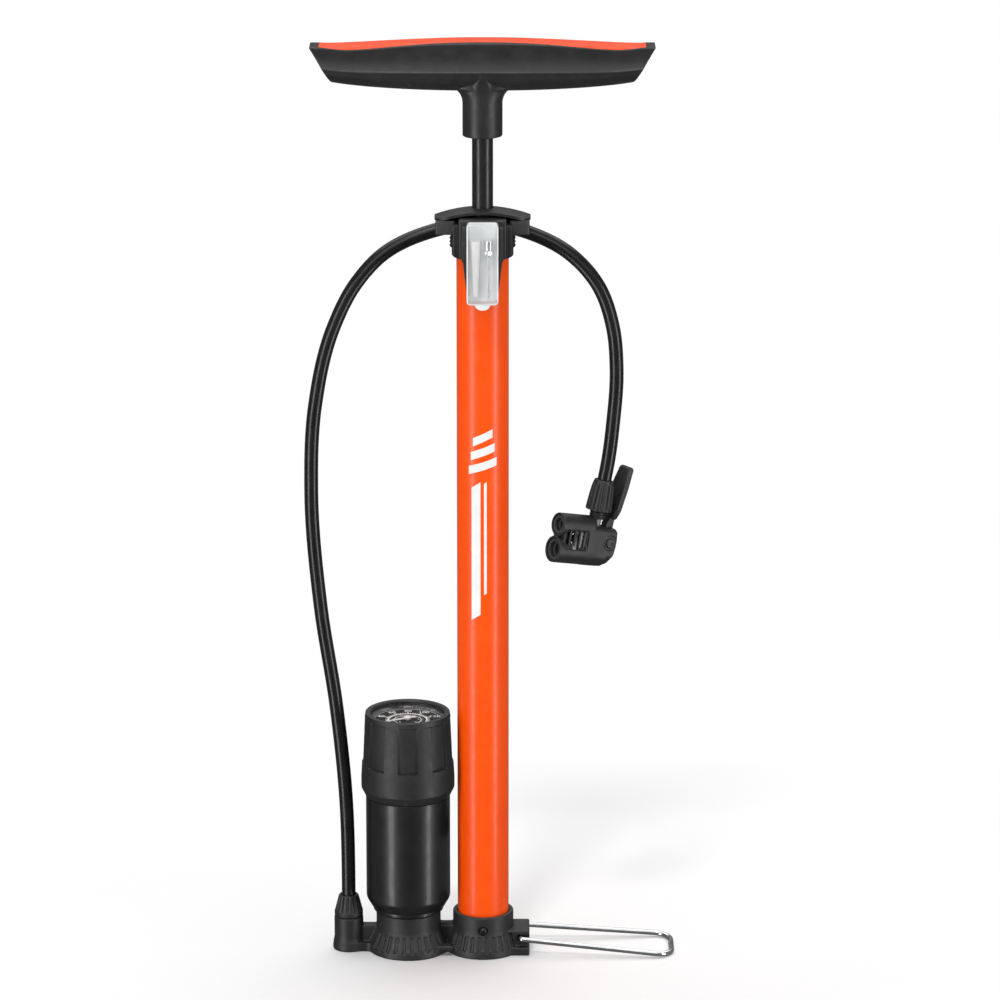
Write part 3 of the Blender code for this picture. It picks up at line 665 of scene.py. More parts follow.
def make_barrel():
    profile = [(BARREL_R, BARREL_FOOT), (BARREL_R, BARREL_TOP), (16, BARREL_TOP), (16, BARREL_FOOT)]
    tube_bm = turned(rounded(profile, 0.35, 3, True), segments=192)
    barrel = piece("barrel_tube", tube_bm, "orange_enamel", "barrel")
    barrel.visible_glossy = False
    marks = []
    for i in range(3):
        low = 336 + 9.5 * i
        reach = 9.5 - 1.5 * i
        marks.append(wrapped_mark(-reach, reach, low, low + 5.5, 6))
    marks.append(wrapped_mark(-7.5, -1.5, 236, 326, 4))
    marks.append(wrapped_mark(0.8, 2.6, 252, 327.5, 1.2))
    piece("barrel_stripes", gathered(*marks), "white_print")


def wrapped_mark(left, right, low, high, lean):
    """A thin printed bar on the barrel's front. Its right end is raised by lean."""
    across, along = 14, 4
    heights = [low + (high - low) * j / along for j in range(along + 1)]
    section = [(BARREL_R - 0.05, z) for z in heights] + [(BARREL_R + 0.06, z) for z in reversed(heights)]
    rings = []
    for i in range(across + 1):
        share = i / across
        angle = (left + (right - left) * share) / BARREL_R
        rise = lean * (share - 0.5)
        rings.append([(r * sin(angle), -r * cos(angle), z + rise) for r, z in section])
    return lofted(rings)


def make_rod():
    profile = [(5.6, ROD_FOOT), (ROD_R, ROD_FOOT), (ROD_R, ROD_TOP), (5.6, ROD_TOP)]
    piece("rod_tube", turned(rounded(profile, 0.3, 3, True), segments=96), "black_steel", "rod", "plunger")


def handle_shape(share):
    """The handle at this share of its half length: half depth, foot, rim, crown, and the pad's two edges."""
    away = abs(share)
    swing = (away / 0.8) ** 1.7 / 2 if away <= 0.8 else 0.5 + (away - 0.8) * 2.5
    dip = sin(pi * swing) ** 2
    depth = 15 - 2.6 * away**2
    foot = 584 + 5.6 * away**2.2
    rim = 616.4 - 3 * away**2 - 2.3 * dip
    crown = 617 - 3.6 * away**2
    widen = min(away / 0.7, 1)
    pad_back = 0.76 * depth
    pad_front = 7.5 + (pad_back - 7.5) * widen**2 * (3 - 2 * widen)
    return depth, foot, rim, crown, pad_front, pad_back


def handle_ring(share, section):
    slant = 0.6 * abs(share) ** 6 * copysign(1, share)
    return [(share * HANDLE_HALF + slant * (z - HANDLE_MID), y, z) for y, z in section]


def body_section(share):
    """The handle's moulded body: flanks that lean in above its parting line, and a round belly."""
    depth, foot, rim, _, pad_front, pad_back = handle_shape(share)
    middle = HANDLE_MID - 3 + 2.2 * abs(share) ** 8
    top = 0.8 * depth
    shoulder = rim - 0.8
    side = []
    for i in range(13):
        rise = i / 12
        lean = 0.2 * (1 - (1 - rise) ** 3)
        side.append((depth * (1 - lean), middle + 0.35 + (shoulder - middle - 0.35) * rise))
    for i in range(1, 7):
        angle = pi / 2 * i / 6
        side.append((top - 0.8 * (1 - cos(angle)), shoulder + 0.8 * sin(angle)))
    belly = []
    for i in range(1, 24):
        angle = pi * i / 24
        belly.append((depth * cos(angle), middle - 0.35 - (middle - 0.35 - foot) * sin(angle)))
    back = [(depth + 0.5, middle), *side, (pad_back + 0.05, rim + 0.1)]
    front = [(-depth - 0.5, middle), *[(-y, z) for y, z in side], (-pad_front - 0.05, rim + 0.1)]
    return [*reversed(back), *belly, *front]


def pad_section(share):
    _, _, rim, crown, pad_front, pad_back = handle_shape(share)
    foot = rim - 0.8
    crown = max(crown, foot + 0.9)
    points = [(pad_back, foot)]
    for i in range(25):
        angle = pi * i / 24
        reach = copysign(abs(cos(angle)) ** 0.8, cos(angle))
        half = pad_back if reach > 0 else pad_front
        points.append((half * reach, foot + 0.4 + (crown - foot - 0.4) * sin(angle) ** 0.9))
    return points + [(-pad_front, foot)]


def oval(across, reach, height, power=1):
    """A level ring of points. A power below 1 makes it squarer."""
    ring = []
    for k in range(64):
        c, s = cos(tau * k / 64), sin(tau * k / 64)
        x = across * copysign(abs(c) ** power, c)
        ring.append((x, reach * copysign(abs(s) ** power, s), height))
    return ring


def neck_ridge():
    """The neck's front and back, which run up the belly to a point at the parting line."""
    rings = []
    for i in range(21):
        height = 578 + i
        climb = max(0, (height - 583) / 15)
        rings.append(oval(12.4 - 11.2 * climb, 12.7 + 2.8 * climb**1.2, height, 1 - 0.5 * min(1, i / 12)))
    return lofted(rings)


def neck_flare():
    """The quarter-round sweep from the neck's sides into the belly."""
    radius = 9.5
    rings = []
    for i in range(17):
        height = 574 + 1.25 * i
        share = min(max(0, (height - 576) / 10.5), 1)
        grow = radius * (1 - sqrt(1 - share**2)) if height < 586.4 else radius
        rings.append(oval(NECK_R + grow, NECK_R, height))
    return lofted(rings)


def make_handle():
    count = 96
    shares = [2 * i / count - 1 for i in range(count + 1)]
    body = lofted([handle_ring(share, body_section(share)) for share in shares])
    neck_profile = [(0, NECK_FOOT), (NECK_R, NECK_FOOT), (NECK_R, 590), (0, 590)]
    neck = turned(rounded(neck_profile, (0, 0.8, 0, 0), 4), segments=96)
    bore = tube(0, ROD_R + 0.3, 550, ROD_TOP + 0.4, edge=0)
    whole = cut(joined(body, neck, neck_flare(), neck_ridge()), bore)
    piece("handle_body", melted(whole, 0.42, 2), "handle_plastic", "handle", "plunger", smooth=50)
    shares = [PAD_SHARE * share for share in shares]
    pad = lofted([handle_ring(share, pad_section(share)) for share in shares])
    piece("handle_pad", pad, "orange_grip", "grip_pad", "plunger", smooth=50)


# ---------- base and foot


def socket_shape(foot_r, collar_r, bore):
    """One of the base's two round sockets, with a flared skirt."""
    outer = [(foot_r - 0.6, 0), (foot_r, 0.6), (foot_r, 4.2), (collar_r + 1.6, 12.6), (collar_r, 16.2)]
    outer += [(collar_r, COLLAR_TOP), (bore, COLLAR_TOP), (bore, 12), (3.2, 12), (3.2, 5), (0, 5)]
    radii = [0, 0, 1.2, 3, 4, 0.7, 0.7, 0, 0, 0, 0]
    return rounded([(0, 0), *outer], [0, *radii], 4)


def skirt_grooves(x, foot_r, collar_r):
    """Wedge-shaped cutters for the grooves round the front and back of a skirt."""
    outline = [(foot_r - 1.3, 4.4), (foot_r + 3, 4.4), (foot_r + 3, 9), (collar_r + 3, 14.4)]
    outline += [(collar_r + 0.3, 14.4), (collar_r + 0.1, 13.4)]
    cutters = []
    for facing in (-90, 90):
        for i in range(10):
            angle = radians(facing + 12.5 * (i - 4.5))
            wedge = pushed(outline, -1.15, 1.15, "Y", 0)
            cutters.append(placed(wedge, (x, 0, 0), turn=Matrix.Rotation(angle, 4, "Z")))
    return gathered(*cutters)


def waist_outline():
    """The low plate's plan, which necks in between the post and the two sockets."""
    half = []
    steps = 60
    left, right = POST_X - 10.4, 24
    for i in range(steps + 1):
        x = left + (right - left) * i / steps
        widths = [8.6]
        for centre, radius in ((POST_X, 10.4), (TANK_X, 27), (0, 25)):
            reach = radius**2 - (x - centre) ** 2
            widths.append(sqrt(reach) if reach > 0 else 0)
        blend = sum(width**9 for width in widths) ** (1 / 9)
        if x < POST_X:
            blend = widths[1]
        half.append((x, max(blend, 0.3)))
    return [(x, -y) for x, y in half] + [(x, y) for x, y in reversed(half)]


def make_base():
    post = [(0, 0), (POST_R + 1, 0), (POST_R + 1, 3), (POST_R, 9), (POST_R, POST_TOP)]
    post += [(5, POST_TOP), (5, 12), (0, 12)]
    post = rounded(post, [0, 1, 1, 4, 0.6, 0.5, 0, 0], 4)
    wing = rounded([(12, -12.2), (31, -12.2), (31, 12.2), (12, 12.2)], 1.5, 4, True)
    parts = [
        turned(socket_shape(27, 21.5, 19.4), TANK_AT),
        turned(socket_shape(25, 20.2, 17.3)),
        turned(post, POST_AT, segments=64),
        pushed(rounded([(POST_X, 5), (-20, 5), (-20, 17), (POST_X, 17)], 0, 3, True), -4, 4, "Y", 1.2),
        pushed(rectangle((-40, 4), (12, 18.5)), -3.2, 3.2, "Y", 1),
        pushed(wing, 0, 16, "Z", 0.8),
        pushed(rounded([(8, -17), (31, -17), (31, 17), (8, 17)], 1.5, 4, True), 0, 5.5, "Z", 0.7),
    ]
    for side in (-1, 1):
        raised = [(-33, side * 12.5), (-18, side * 12.5), (-20.5, side * 18.4), (-30.5, side * 18.4)]
        parts.append(pushed(raised, 4, 7.2, "Z", 0.5))
    whole = joined(pushed(waist_outline(), 0, 6, "Z", 0), *parts)
    cup_a = tube(0, 19.4, 12, 30, TANK_AT, edge=0)
    cup_b = tube(0, 17.3, 12, 30, edge=0)
    cutters = [cup_a, cup_b, skirt_grooves(TANK_X, 27, 21.5), skirt_grooves(0, 25, 20.2)]
    cutters.append(tube(0, 1.85, -14, 14, FOOT_PIVOT, "Y", 0, 32))
    cutters.append(tube(0, 5, 12, 30, POST_AT, edge=0, segments=48))
    for side in (-1, 1):
        low, high = sorted((side * 9.6, side * 14))
        cutters.append(block((22.6, low, 8.6), (34, high, 13.4), 0.8))
        low, high = sorted((side * 18.4, side * 54))
        cutters.append(tube(0, 2.9, low, high, (0, 0, SCREW_Z), "Y", 0, 32))
    whole = cut(whole, *cutters)
    piece("base_moulding", melted(whole, 0.45, 3), "black_plastic", "base", smooth=50)
    for name, side in (("barrel_screw_front", -1), ("barrel_screw_back", 1)):
        turn = Matrix.Rotation(radians(-90 * side), 4, "X")
        screw = placed(cross_screw(2.5, 1.7), (0, side * 20.1, SCREW_Z), turn=turn)
        piece(name + "_head", screw, "black_steel", name)


def cross_screw(radius, height):
    """A pan-head screw with a cross recess, its head upwards."""
    profile = [(0, -8), (1.2, -8), (1.2, 0), (radius, 0), (radius, height * 0.45)]
    profile += [(radius * 0.62, height), (0, height)]
    head = turned(rounded(profile, [0, 0, 0, 0.1, 0.5, 0.5, 0], 4), segments=48)
    bars = [block((-1.35, -0.3, height - 0.8), (1.35, 0.3, height + 1), 0)]
    bars.append(block((-0.3, -1.35, height - 0.8), (0.3, 1.35, height + 1), 0))
    return cut(head, *bars)


def make_foot_wire():
    px, _, pz = FOOT_PIVOT
    slope = (2 - pz) / 100
    half = [(0, 4.5, 0), (0, 11.6, 0), (0.3, 15, 0), (6, 15.35, slope * 6)]
    half = rounded([*half, (90, 20.4, slope * 90)], [0, 0, 3, 0, 0], 8)
    for i in range(1, 17):
        angle = pi / 2 * i / 16
        reach = 90 + 11 * sin(angle)
        half.append((reach, 9.4 + 11 * cos(angle), slope * min(reach, 100)))
    mirrored = [(x, -y, z) for x, y, z in reversed(half)]
    wire = swept([(px + x, y, pz + z) for x, y, z in half + mirrored], 1.75, 8)
    piece("wire_stirrup", wire, "bright_zinc", "foot_wire", "foot_wire", smooth=50)


# ---------- tank and gauge


def make_tank():
    outer = [(19, BARREL_FOOT), (19, 28.5), (23.4, 28.5), (23.4, 31.2), (24.6, 31.6), (TANK_R, 37.5)]
    outer += [(TANK_R, 108.7), (25, 108.7), (25, 140), (22, 140), (22, 106.5), (26.3, 104)]
    inner = [(26.3, 38), (16.8, 33), (16.8, BARREL_FOOT)]
    radii = [0.3, 0, 0.6, 0.6, 1, 7, 0.6, 0, 0.4, 0.4, 0, 0, 0, 0, 0.3]
    profile = rounded(outer + inner, radii, 8, True)
    piece("tank_shell", turned(profile, TANK_AT, segments=160), "black_enamel", "tank")


def cap_radius(angle, radius, height):
    """The screw cap's outside, with eight flats let into it between its ribs."""
    if not 131.5 < height < 162.5 or radius < 27:
        return radius
    turn = (degrees(angle) - 271.5 + 22.5) % 45 - 22.5
    share = (abs(turn) - 12.2) / 0.7
    share = min(max(share, 0), 1)
    floor = 28.35 - 0.012 * (height - 132)
    return floor + (radius - floor) * share


def make_gauge():
    outer = [(25.3, 109), (28.3, 109), (31, 114.5), (31, 121)]
    band = rounded(outer, [0, 0.8, 2, 0], 5)
    ribs = [(30.75, 126), (30.5, 131.2), (30.5, 131.8), (30.45, 132.2)]
    ribs += [(30.45 - 1.35 * i / 10, 132.2 + 29.4 * i / 10) for i in range(1, 11)]
    top = [(29.1, 161.7), (29, 162.2), (28.4, 163), (28, 166), (25, 166), (24.2, 165.1)]
    top = rounded(top, 0.5, 4)
    lip = [(24.2, 164.7), (25.3, 164.7)]
    cap = turned(band + ribs + top + lip, TANK_AT, segments=360, shape=cap_radius)
    piece("gauge_screw_cap", cap, "black_plastic", "gauge_cap", smooth=28)
    lens = [(0, 162.7), (24.7, 162.7), (24.7, 164.2), (20, 164.3), (0, 164.4)]
    lens = turned(rounded(lens, [0, 0.3, 0.4, 0, 0], 3), TANK_AT)
    piece("lens_disc", lens, "lens", "gauge_lens")
    make_dial()


def figure(text, size):
    """A thin solid of some figures, centred on the origin."""
    data = bpy.data.curves.new("figures", "FONT")
    data.body = text
    data.size = size
    data.align_x = "CENTER"
    data.align_y = "CENTER"
    data.extrude = 0.05
    data.offset = 0.008 * size
    return cleaned(as_bmesh(added("figures", data)))


def arc_bar(inner, outer, start, end, steps):
    """Part of a flat printed ring, between two angles in degrees."""
    low, high = PRINT
    section = ((inner, low), (outer, low), (outer, high), (inner, high))
    rings = []
    for i in range(steps + 1):
        angle = radians(start + (end - start) * i / steps)
        rings.append([(r * cos(angle), r * sin(angle), z) for r, z in section])
    return lofted(rings)


def scale_angles(steps):
    """A scale's angles, clockwise over three quarters of a turn."""
    return [radians(225 - 270 * i / steps) for i in range(steps + 1)]


def figures(steps, each, size, radius):
    """Upright figures round the scale, 0, each, 2 * each and so on."""
    made = []
    for i, angle in enumerate(scale_angles(steps)):
        spot = (radius * cos(angle), radius * sin(angle), 0)
        made.append(placed(figure(str(each * i), size), spot))
    return made


def make_dial():
    """A black face with a scale of eight steps over three quarters of a turn."""
    face = tube(1.6, 23.4, 159.5, DIAL_Z, TANK_AT, edge=0.15, segments=128)
    piece("dial_plate", face, "dial_face", "dial")
    low, high = PRINT
    marks = [arc_bar(12.3, 13.2, -45, 225, 90), arc_bar(8.8, 9.3, -45, 225, 72)]
    marks.append(arc_bar(22.5, 22.8, -52, 232, 120))
    for i, angle in enumerate(scale_angles(40)):
        reach, half = (14.8, 0.2) if i % 5 else (16.2, 0.4)
        ticks = [block((13.2, -half, low), (reach, half, high), 0)]
        if i % 4 == 0:
            ticks.append(block((9.2, -0.16, low), (10.6, 0.16, high), 0))
        marks += [placed(tick, turn=Matrix.Rotation(angle, 4, "Z")) for tick in ticks]
    marks += figures(8, 20, 5, 19.2) + figures(5, 2, 2.2, 7.2)
    piece("dial_scale", placed(gathered(*marks), (TANK_X, 0, DIAL_Z)), "white_print")
    hub = [(0, 153), (0.8, 153), (0.8, 160.6), (2.4, 160.8), (2.4, 162.4), (0, 162.4)]
    hand = [(-1.3, 6), (-0.6, 0), (-0.9, -2), (-0.35, -19), (0.35, -19), (0.9, -2), (0.6, 0), (1.3, 6)]
    blade = pushed(hand, 161.2, 161.9, "Z", 0.12)
    blade = placed(blade, turn=Matrix.Rotation(radians(-62), 4, "Z"))
    whole = joined(turned(rounded(hub, 0.3, 3)), blade)
    piece("needle_hand", placed(whole, TANK_AT), "pointer", "pointer", "gauge_pointer")


def make_valve_spring():
    """The spring below the base's valve, made at one length. The real one gets shorter as the valve opens."""
    turns, each = 3.5, 24
    coil = []
    for i in range(int(turns * each) + 1):
        angle = tau * i / each
        coil.append((3.2 * cos(angle), 3.2 * sin(angle), 3.9 + 5.3 * i / (turns * each)))
    spring = piece("spring_coil", swept(coil, 0.35, 3), "steel", "valve_spring")
    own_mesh(spring)


# ---------- head


def make_head():
    ridges = []
    for i in range(3):
        foot = 482 + 2.5 * i
        ridges += [(20, foot), (21.4, foot + 0.5), (21.2, foot + 0.9), (20, foot + 2.3)]
    collar = [(17.3, 476), (19.6, 476), (20, 476.5), *ridges, (20, 499.6), (8, 499.6)]
    collar = turned([*collar, (8, 497), (17.3, 497)], segments=160)
    arch = rectangle((-15.4, -21.9), (15.4, -8), 1.6)
    plug = tube(0, 17.3, 470, 497, edge=0)
    panels = []
    for low, high in both_sides(14, 19.2):
        panels.append(pushed(rectangle((low, -20.6), (high, -6), 0.8), 479.5, 499.5, "Z", 0.5))
    whole = joined(collar, pushed(arch, 478.2, 503, "Z", 0.8), *panels)
    whole = cut(whole, plug, tube(0, ROD_R + 0.5, 490, 505, edge=0))
    piece("collar_moulding", whole, "black_plastic", "head_collar")
    back = Matrix.Rotation(radians(-90), 4, "X")
    screw = placed(cross_screw(2.4, 1.5), (0, 20.1, 478.9), turn=back)
    piece("head_screw_pan", screw, "black_steel", "head_screw")
    make_head_cap()
    make_case_holder()


def cap_height(x, y):
    """The top of the head cap, crowned both ways."""
    drop = 1.3 * (min(y, 0) / 18) ** 2 + 13 * (max(y, 0) / 36) ** 1.6
    return 508 - 5.6 * (x / 31) ** 2 - drop


def make_head_cap():
    """A thin crowned plate with a panel hanging from each side and two clips behind."""
    front, back, corner, half = -14.8, 36, 10, 31
    rings = []
    steps = 40
    for i in range(steps + 1):
        y = front + (back - front) * (1 - cos(pi * i / steps)) / 2
        inset = corner - min(y - front, back - y, corner)
        width = half - corner + sqrt(max(corner**2 - inset**2, 0.04))
        top, under = [], []
        for k in range(33):
            x = width * sin(pi / 2 * (k - 16) / 16)
            crown = cap_height(x, y)
            top.append((x, y, crown))
            under.append((x, y, min(max(crown - 1.7, 499.7), crown - 1)))
        rings.append(under + top[::-1])
    plate = lofted(rings)
    walls = []
    for low, high in both_sides(17.6, 30.4):
        walls.append(pushed(rectangle((low, -13.5), (high, 4), 1.4), 492, 501.4, "Z", 0.5))
        walls.append(pushed(rectangle((low, 1), (high, 17.5), 1.4), 492, 498, "Z", 0.5))
    for low, high in both_sides(4, 15):
        walls.append(pushed(rectangle((low, 33), (high, 35.6), 0.8), 486.2, 495.5, "Z", 0.4))
    whole = joined(plate, *walls)
    whole = cut(whole, tube(0, 22.2, 480, 500.3, edge=0), tube(0, ROD_R + 0.5, 490, 512, edge=0))
    cap = piece("cap_plate", whole, "black_plastic", "head_cap")
    # painted highlight: the front faces of the cap's side walls are made lighter grey for the light they
    # catch
    second_finish(
        cap, "painted_lit_plastic", lambda spot: spot.y < -13 and 492.4 < spot.z < 501.2 and abs(spot.x) < 30
    )


def make_case_holder():
    tongue = [(-12.6, 500), (-12.6, 476), (-10, 453.5), (-8.5, 452), (8.5, 452), (10, 453.5)]
    tongue = rounded(tongue + [(12.6, 476), (12.6, 500)], [0, 2, 1.5, 1, 1, 1.5, 2, 0], 4, True)
    rails = []
    for low, high in both_sides(10.6, 13.4):
        rails.append(pushed(rectangle((low, 477.5), (high, 500), 1.2), -29.5, -22.3, "Y", 0.5))
    whole = joined(pushed(tongue, -23.9, -22.1, "Y", 0.4), *rails)
    piece("holder_tongue", whole, "black_plastic", "case_holder")


def make_case():
    """The clear case, which slides down off its holder, with the needle and the nozzle in it."""
    shell = pushed(rectangle((-CASE_HALF, 450), (CASE_HALF, 503), 2.6), -33.2, -24.2, "Y", 0.9)
    tab = [(-5.4, 452)]
    for i in reversed(range(25)):
        angle = pi * i / 24
        tab.append((5 * cos(angle), 450.4 - 3.9 * sin(angle)))
    tab = pushed(tab + [(5.4, 452)], -32.6, -30.9, "Y", 0.3)
    hollow = pushed(rectangle((-9.15, 451.2), (9.15, 512), 1.6), -32.1, -25.3, "Y", 0)
    case = piece("case_shell", cut(joined(shell, tab), hollow), "clear_case", "clear_case", "accessory_case")
    # painted highlight: the edges of the case are made milky white for the light they catch
    second_finish(case, "lit_case_rim", lambda spot: abs(spot.x) > 9.2 or spot.z < 451.1)
    for finish, low, high in (("case_back", 451.1, 478), ("case_top", 478, 600)):
        second_finish(case, finish, lambda spot: spot.y > -26 and abs(spot.x) < 9.2 and low < spot.z < high)
    needle = [(0, 453.5), (0.8, 454.4), (0.8, 481.5), (2, 482), (3.2, 482.6), (3.2, 485), (2.6, 485.5)]
    needle = rounded(needle + [(2.6, 492), (0, 492)], [0, 0.2, 0.2, 0.2, 0.3, 0.3, 0.2, 0.4, 0], 3)
    threads = turned(needle, (3.9, -28.7, 0), segments=64, shape=thread_shape)
    piece("needle_body", threads, "bright_zinc", "ball_needle", "accessory_case")
    cone = [(0.9, 455), (1.7, 455), (2.9, 482), (3.1, 488), (3.1, 491.5), (2, 491.5), (2, 484)]
    cone = turned(rounded(cone, 0.25, 3, True), (-4.6, -28.7, 0), segments=64)
    piece("nozzle_cone", cone, "white_plastic", "cone_nozzle", "accessory_case")


def thread_shape(angle, radius, height):
    """Six flats on the needle's flange."""
    if radius < 2.7 or not 482.4 < height < 485.3:
        return radius
    turn = (angle + pi / 6) % (pi / 3) - pi / 6
    return radius * 0.9 / cos(turn)


# ---------- gland and chuck


def ribbed(count, depth, low, high):
    """A shape for turned(): count flutes between two heights."""
    def shape(angle, radius, height):
        if not low < height < high:
            return radius
        wave = abs(sin(count * angle / 2))
        return radius - depth * (1 - wave**0.5)
    return shape


def refined(profile, radii):
    """A closed profile with rounded corners and points no more than about a millimetre apart."""
    profile = rounded(profile, radii, 4, True)
    fine = []
    for near, far in zip(profile, profile[1:] + profile[:1]):
        steps = max(1, round(dist(near, far)))
        fine += [tuple(Vector(near).lerp(Vector(far), k / steps)) for k in range(steps)]
    return fine


def make_gland():
    profile = [(5, 23.4), (9.2, 23.4), (9.5, 24), (9.5, 26.6), (9.2, 27.6), (6.9, 36.6)]
    profile = refined([*profile, (6.1, 38), (5, 38)], [0.2, 0.3, 0.3, 0.6, 1, 1, 0.4, 0.3])
    nut = turned(profile, POST_AT, segments=144, shape=ribbed(12, 0.8, 26.9, 37.2))
    return piece("gland_cap", nut, "black_plastic", "gland_nut")


def make_chuck():
    made = [make_chuck_body()]
    for word, (height, _, bore) in (("upper", UPPER_PORT), ("lower", LOWER_PORT)):
        rim, hole = bore - 0.3, bore - 1.9
        ring = tube(hole, rim, 0.6, 3.2, (PORT_FACE, 0, height), "X", 0.4)
        # painted highlight: the port rim is made lighter grey for the light it catches
        made.append(piece(word + "_port_rim", ring, "painted_lit_plastic", word + "_port_ring", place=CHUCK_PLACE))
        profile = [(hole - 1.3, 4.4), (hole - 0.6, 3.6), (rim, 3.6), (rim, 11), (hole - 1.3, 11)]
        washer = turned(rounded(profile, 0.3, 3, True), (PORT_FACE, 0, height), "X", 96)
        made.append(piece(word + "_rubber", washer, "seal_rubber", word + "_grommet", place=CHUCK_PLACE))
    made += make_chuck_stem()
    x, _, z = LEVER_PIVOT
    pin = [(0, -10.4), (2.9, -10.4), (3.3, -9.95), (3.3, -9.05), (1.9, -9.05), (1.9, 9.05), (3.3, 9.05)]
    pin = rounded(pin + [(3.3, 9.95), (2.9, 10.4), (0, 10.4)], [0, 0.3, 0.3, 0, 0, 0, 0, 0.3, 0.3, 0], 3)
    pin = turned(pin, (x, 0, z), "Y", 64)
    square = rectangle((x - 1.1, z - 1.1), (x + 1.1, z + 1.1))
    pin = cut(pin, *[pushed(square, low, high, "Y", 0) for low, high in both_sides(9.8, 12)])
    made.append(piece("pivot_pin", pin, "handle_plastic", "lever_pin", place=CHUCK_PLACE))
    made.append(make_lever())
    return made


def make_chuck_body():
    upper_z, upper_r, upper_bore = UPPER_PORT
    lower_z, lower_r, lower_bore = LOWER_PORT
    low_port = [(0, 0), (lower_r, 0), (lower_r, 38), (0, 38)]
    low_port = turned(rounded(low_port, [0, 0.7, 0, 0], 4), (PORT_FACE - 0.5, 0, lower_z), "X", 96)
    top_port = [(0, 0), (upper_r, 0), (upper_r, 25.5), (upper_r - 2.2, 28), (0, 28)]
    top_port = turned(rounded(top_port, [0, 0.7, 0.4, 0.4, 0], 4), (PORT_FACE, 0, upper_z), "X", 96)
    rear = [(-9, 10), (-9, -16.7), (3, -16.7), (9.4, -13.5), (12.6, -7.5), (13.2, -2), (13.2, 7.5), (12, 10)]
    rear = rounded(rear, [0, 0, 6, 5, 6, 4, 2, 1], 6, True)
    section = [(-7.6, 10), (7.6, 10), (8.8, 2), (8.8, -8), (5.5, -16.7), (-5.5, -16.7), (-8.8, -8), (-8.8, 2)]
    section = rounded(section, [3.5, 3.5, 6, 6, 7, 7, 6, 6], 8, True)
    core = combined(pushed(rear, -8.8, 8.8, "Y", 0), "INTERSECT", [pushed(section, -12, 24, "X", 0)])
    web = block((PORT_FACE + 2.6, -6.4, -8), (-6, 6.4, 8), 0.4)
    bosses = tube(0, 4.9, -9.2, 9.2, LEVER_PIVOT, "Y", 0.4, 64)
    whole = joined(low_port, top_port, core, web, bosses)
    cutters = [
        tube(0, upper_bore, -32, -15, (0, 0, upper_z), "X", 0, 72),
        tube(0, lower_bore, -32, -15, (0, 0, lower_z), "X", 0, 72),
        block((-18, -4, -12), (-8.5, 4, 12), 0),
        tube(0, 3.35, 3, 20, edge=0, segments=48),
        tube(0, LEVER_HUB_R + 0.4, -3.3, 3.3, LEVER_PIVOT, "Y", 0, 48),
        block((4.6, -3.3, -9), (30, 3.3, 12), 0.3),
        tube(0, 3.6, 9, 12, LEVER_PIVOT, "Y", 0, 48),
        tube(0, 3.6, -12, -9, LEVER_PIVOT, "Y", 0, 48),
    ]
    slots = [rectangle((-25.6 + 3.9 * i, -5.2), (-25.6 + 3.9 * i + 2.5, 6), 0.5) for i in range(4)]
    recesses = [(slot, 3.6) for slot in slots] + [(rectangle((-26.6, -6), (-9.8, 6.8), 1.2), 6.3)]
    for side in (-1, 1):
        for outline, floor in recesses:
            low, high = sorted((side * floor, side * 12))
            cutters.append(pushed(outline, low, high, "Y", 0))
    whole = melted(cut(whole, *cutters), 0.28, 2)
    return piece("chuck_moulding", whole, "handle_plastic", "chuck_body", place=CHUCK_PLACE, smooth=50)


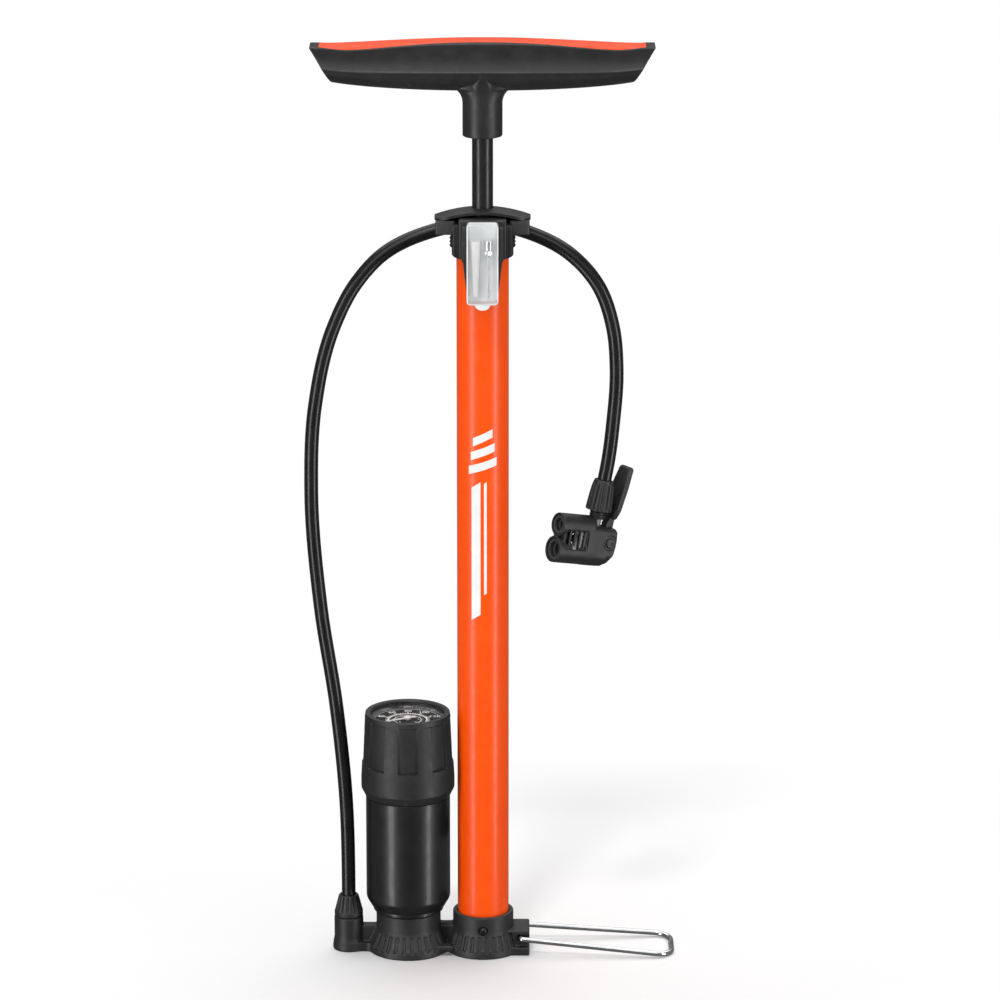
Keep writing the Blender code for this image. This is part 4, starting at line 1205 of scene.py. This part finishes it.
def make_chuck_stem():
    profile = [(1.4, 4.2), (3.05, 4.2), (3.05, 14.8), (5.3, 14.9)]
    for i in range(3):
        profile += [(r, z + 1.6 * i) for r, z in ((5.4, 15.1), (5.4, 16), (4.6, 16.3), (4.6, 16.7))]
    profile += [(2.9, 20.2), (2.9, 38), (2.4, 40), (1.4, 40)]
    stem = turned(rounded(profile, 0.12, 2, True), segments=72)
    stem = piece("stem_bright", stem, "stem_zinc", "chuck_stem", place=CHUCK_PLACE)
    back = CHUCK_PLACE.inverted()
    second_finish(stem, "black_plastic", lambda spot: 14.7 < (back @ spot).z < 20.3)
    profile = [(5, NUT_FOOT), (8.7, NUT_FOOT), (8.8, 22), (8.2, 30), (7.5, 36.5)]
    profile = refined([*profile, (6.3, NUT_TOP), (5, NUT_TOP)], [0.2, 0.5, 0.4, 3, 2, 0.6, 0.3])
    nut = turned(profile, segments=168, shape=ribbed(12, 0.9, 20.9, 38.5))
    return [stem, piece("chuck_cap_nut", nut, "black_plastic", "chuck_nut", place=CHUCK_PLACE)]


def make_lever():
    hub = tube(0, LEVER_HUB_R, -2.9, 2.9, along="Y", edge=0.4, segments=64)
    arm = [(-1.6, 2.5), (4, 0.5), (4.3, 14), (4.6, 20), (1.6, 20), (1.3, 17), (-1.6, 12)]
    blade = [(1.5, 15), (4.5, 15), (5, 22), (7.6, 38), (10, 49.5), (9, 50.8), (7, 50.8), (6.2, 49.5)]
    blade = rounded([*blade, (3.6, 36), (1.5, 22)], [1.4, 1.4, 4, 8, 1.2, 0.8, 0.8, 1, 8, 4], 4, True)
    front = [(-4, 14.5), (4, 14.5), (7.5, 22), (7.5, 36), (5.2, 51), (-5.2, 51), (-7.5, 36), (-7.5, 22)]
    front = rounded(front, [2, 2, 6, 12, 2.2, 2.2, 12, 6], 6, True)
    keep = pushed(front, 0, 20, "X", 0)
    plate = combined(pushed(blade, -7.5, 7.5, "Y", 0.3), "INTERSECT", [keep])
    lever = joined(hub, pushed(arm, -2.9, 2.9, "Y", 0.4), plate)
    lever = cut(lever, tube(0, 2, -5, 5, along="Y", edge=0, segments=48))
    lever = placed(lever, LEVER_PIVOT)
    return piece("lever_blade", lever, "black_plastic", "chuck_lever", "chuck_lever", CHUCK_PLACE)


def main():
    make_camera()
    make_light(make_floor())
    dress_cad_nodes()
    chuck = make_chuck()
    make_hose([make_gland(), *chuck, frame["nodes"]["chuck_plunger"]])
    make_barrel()
    make_rod()
    make_handle()
    make_base()
    make_foot_wire()
    make_tank()
    make_gauge()
    make_valve_spring()
    make_head()
    make_case()


main()
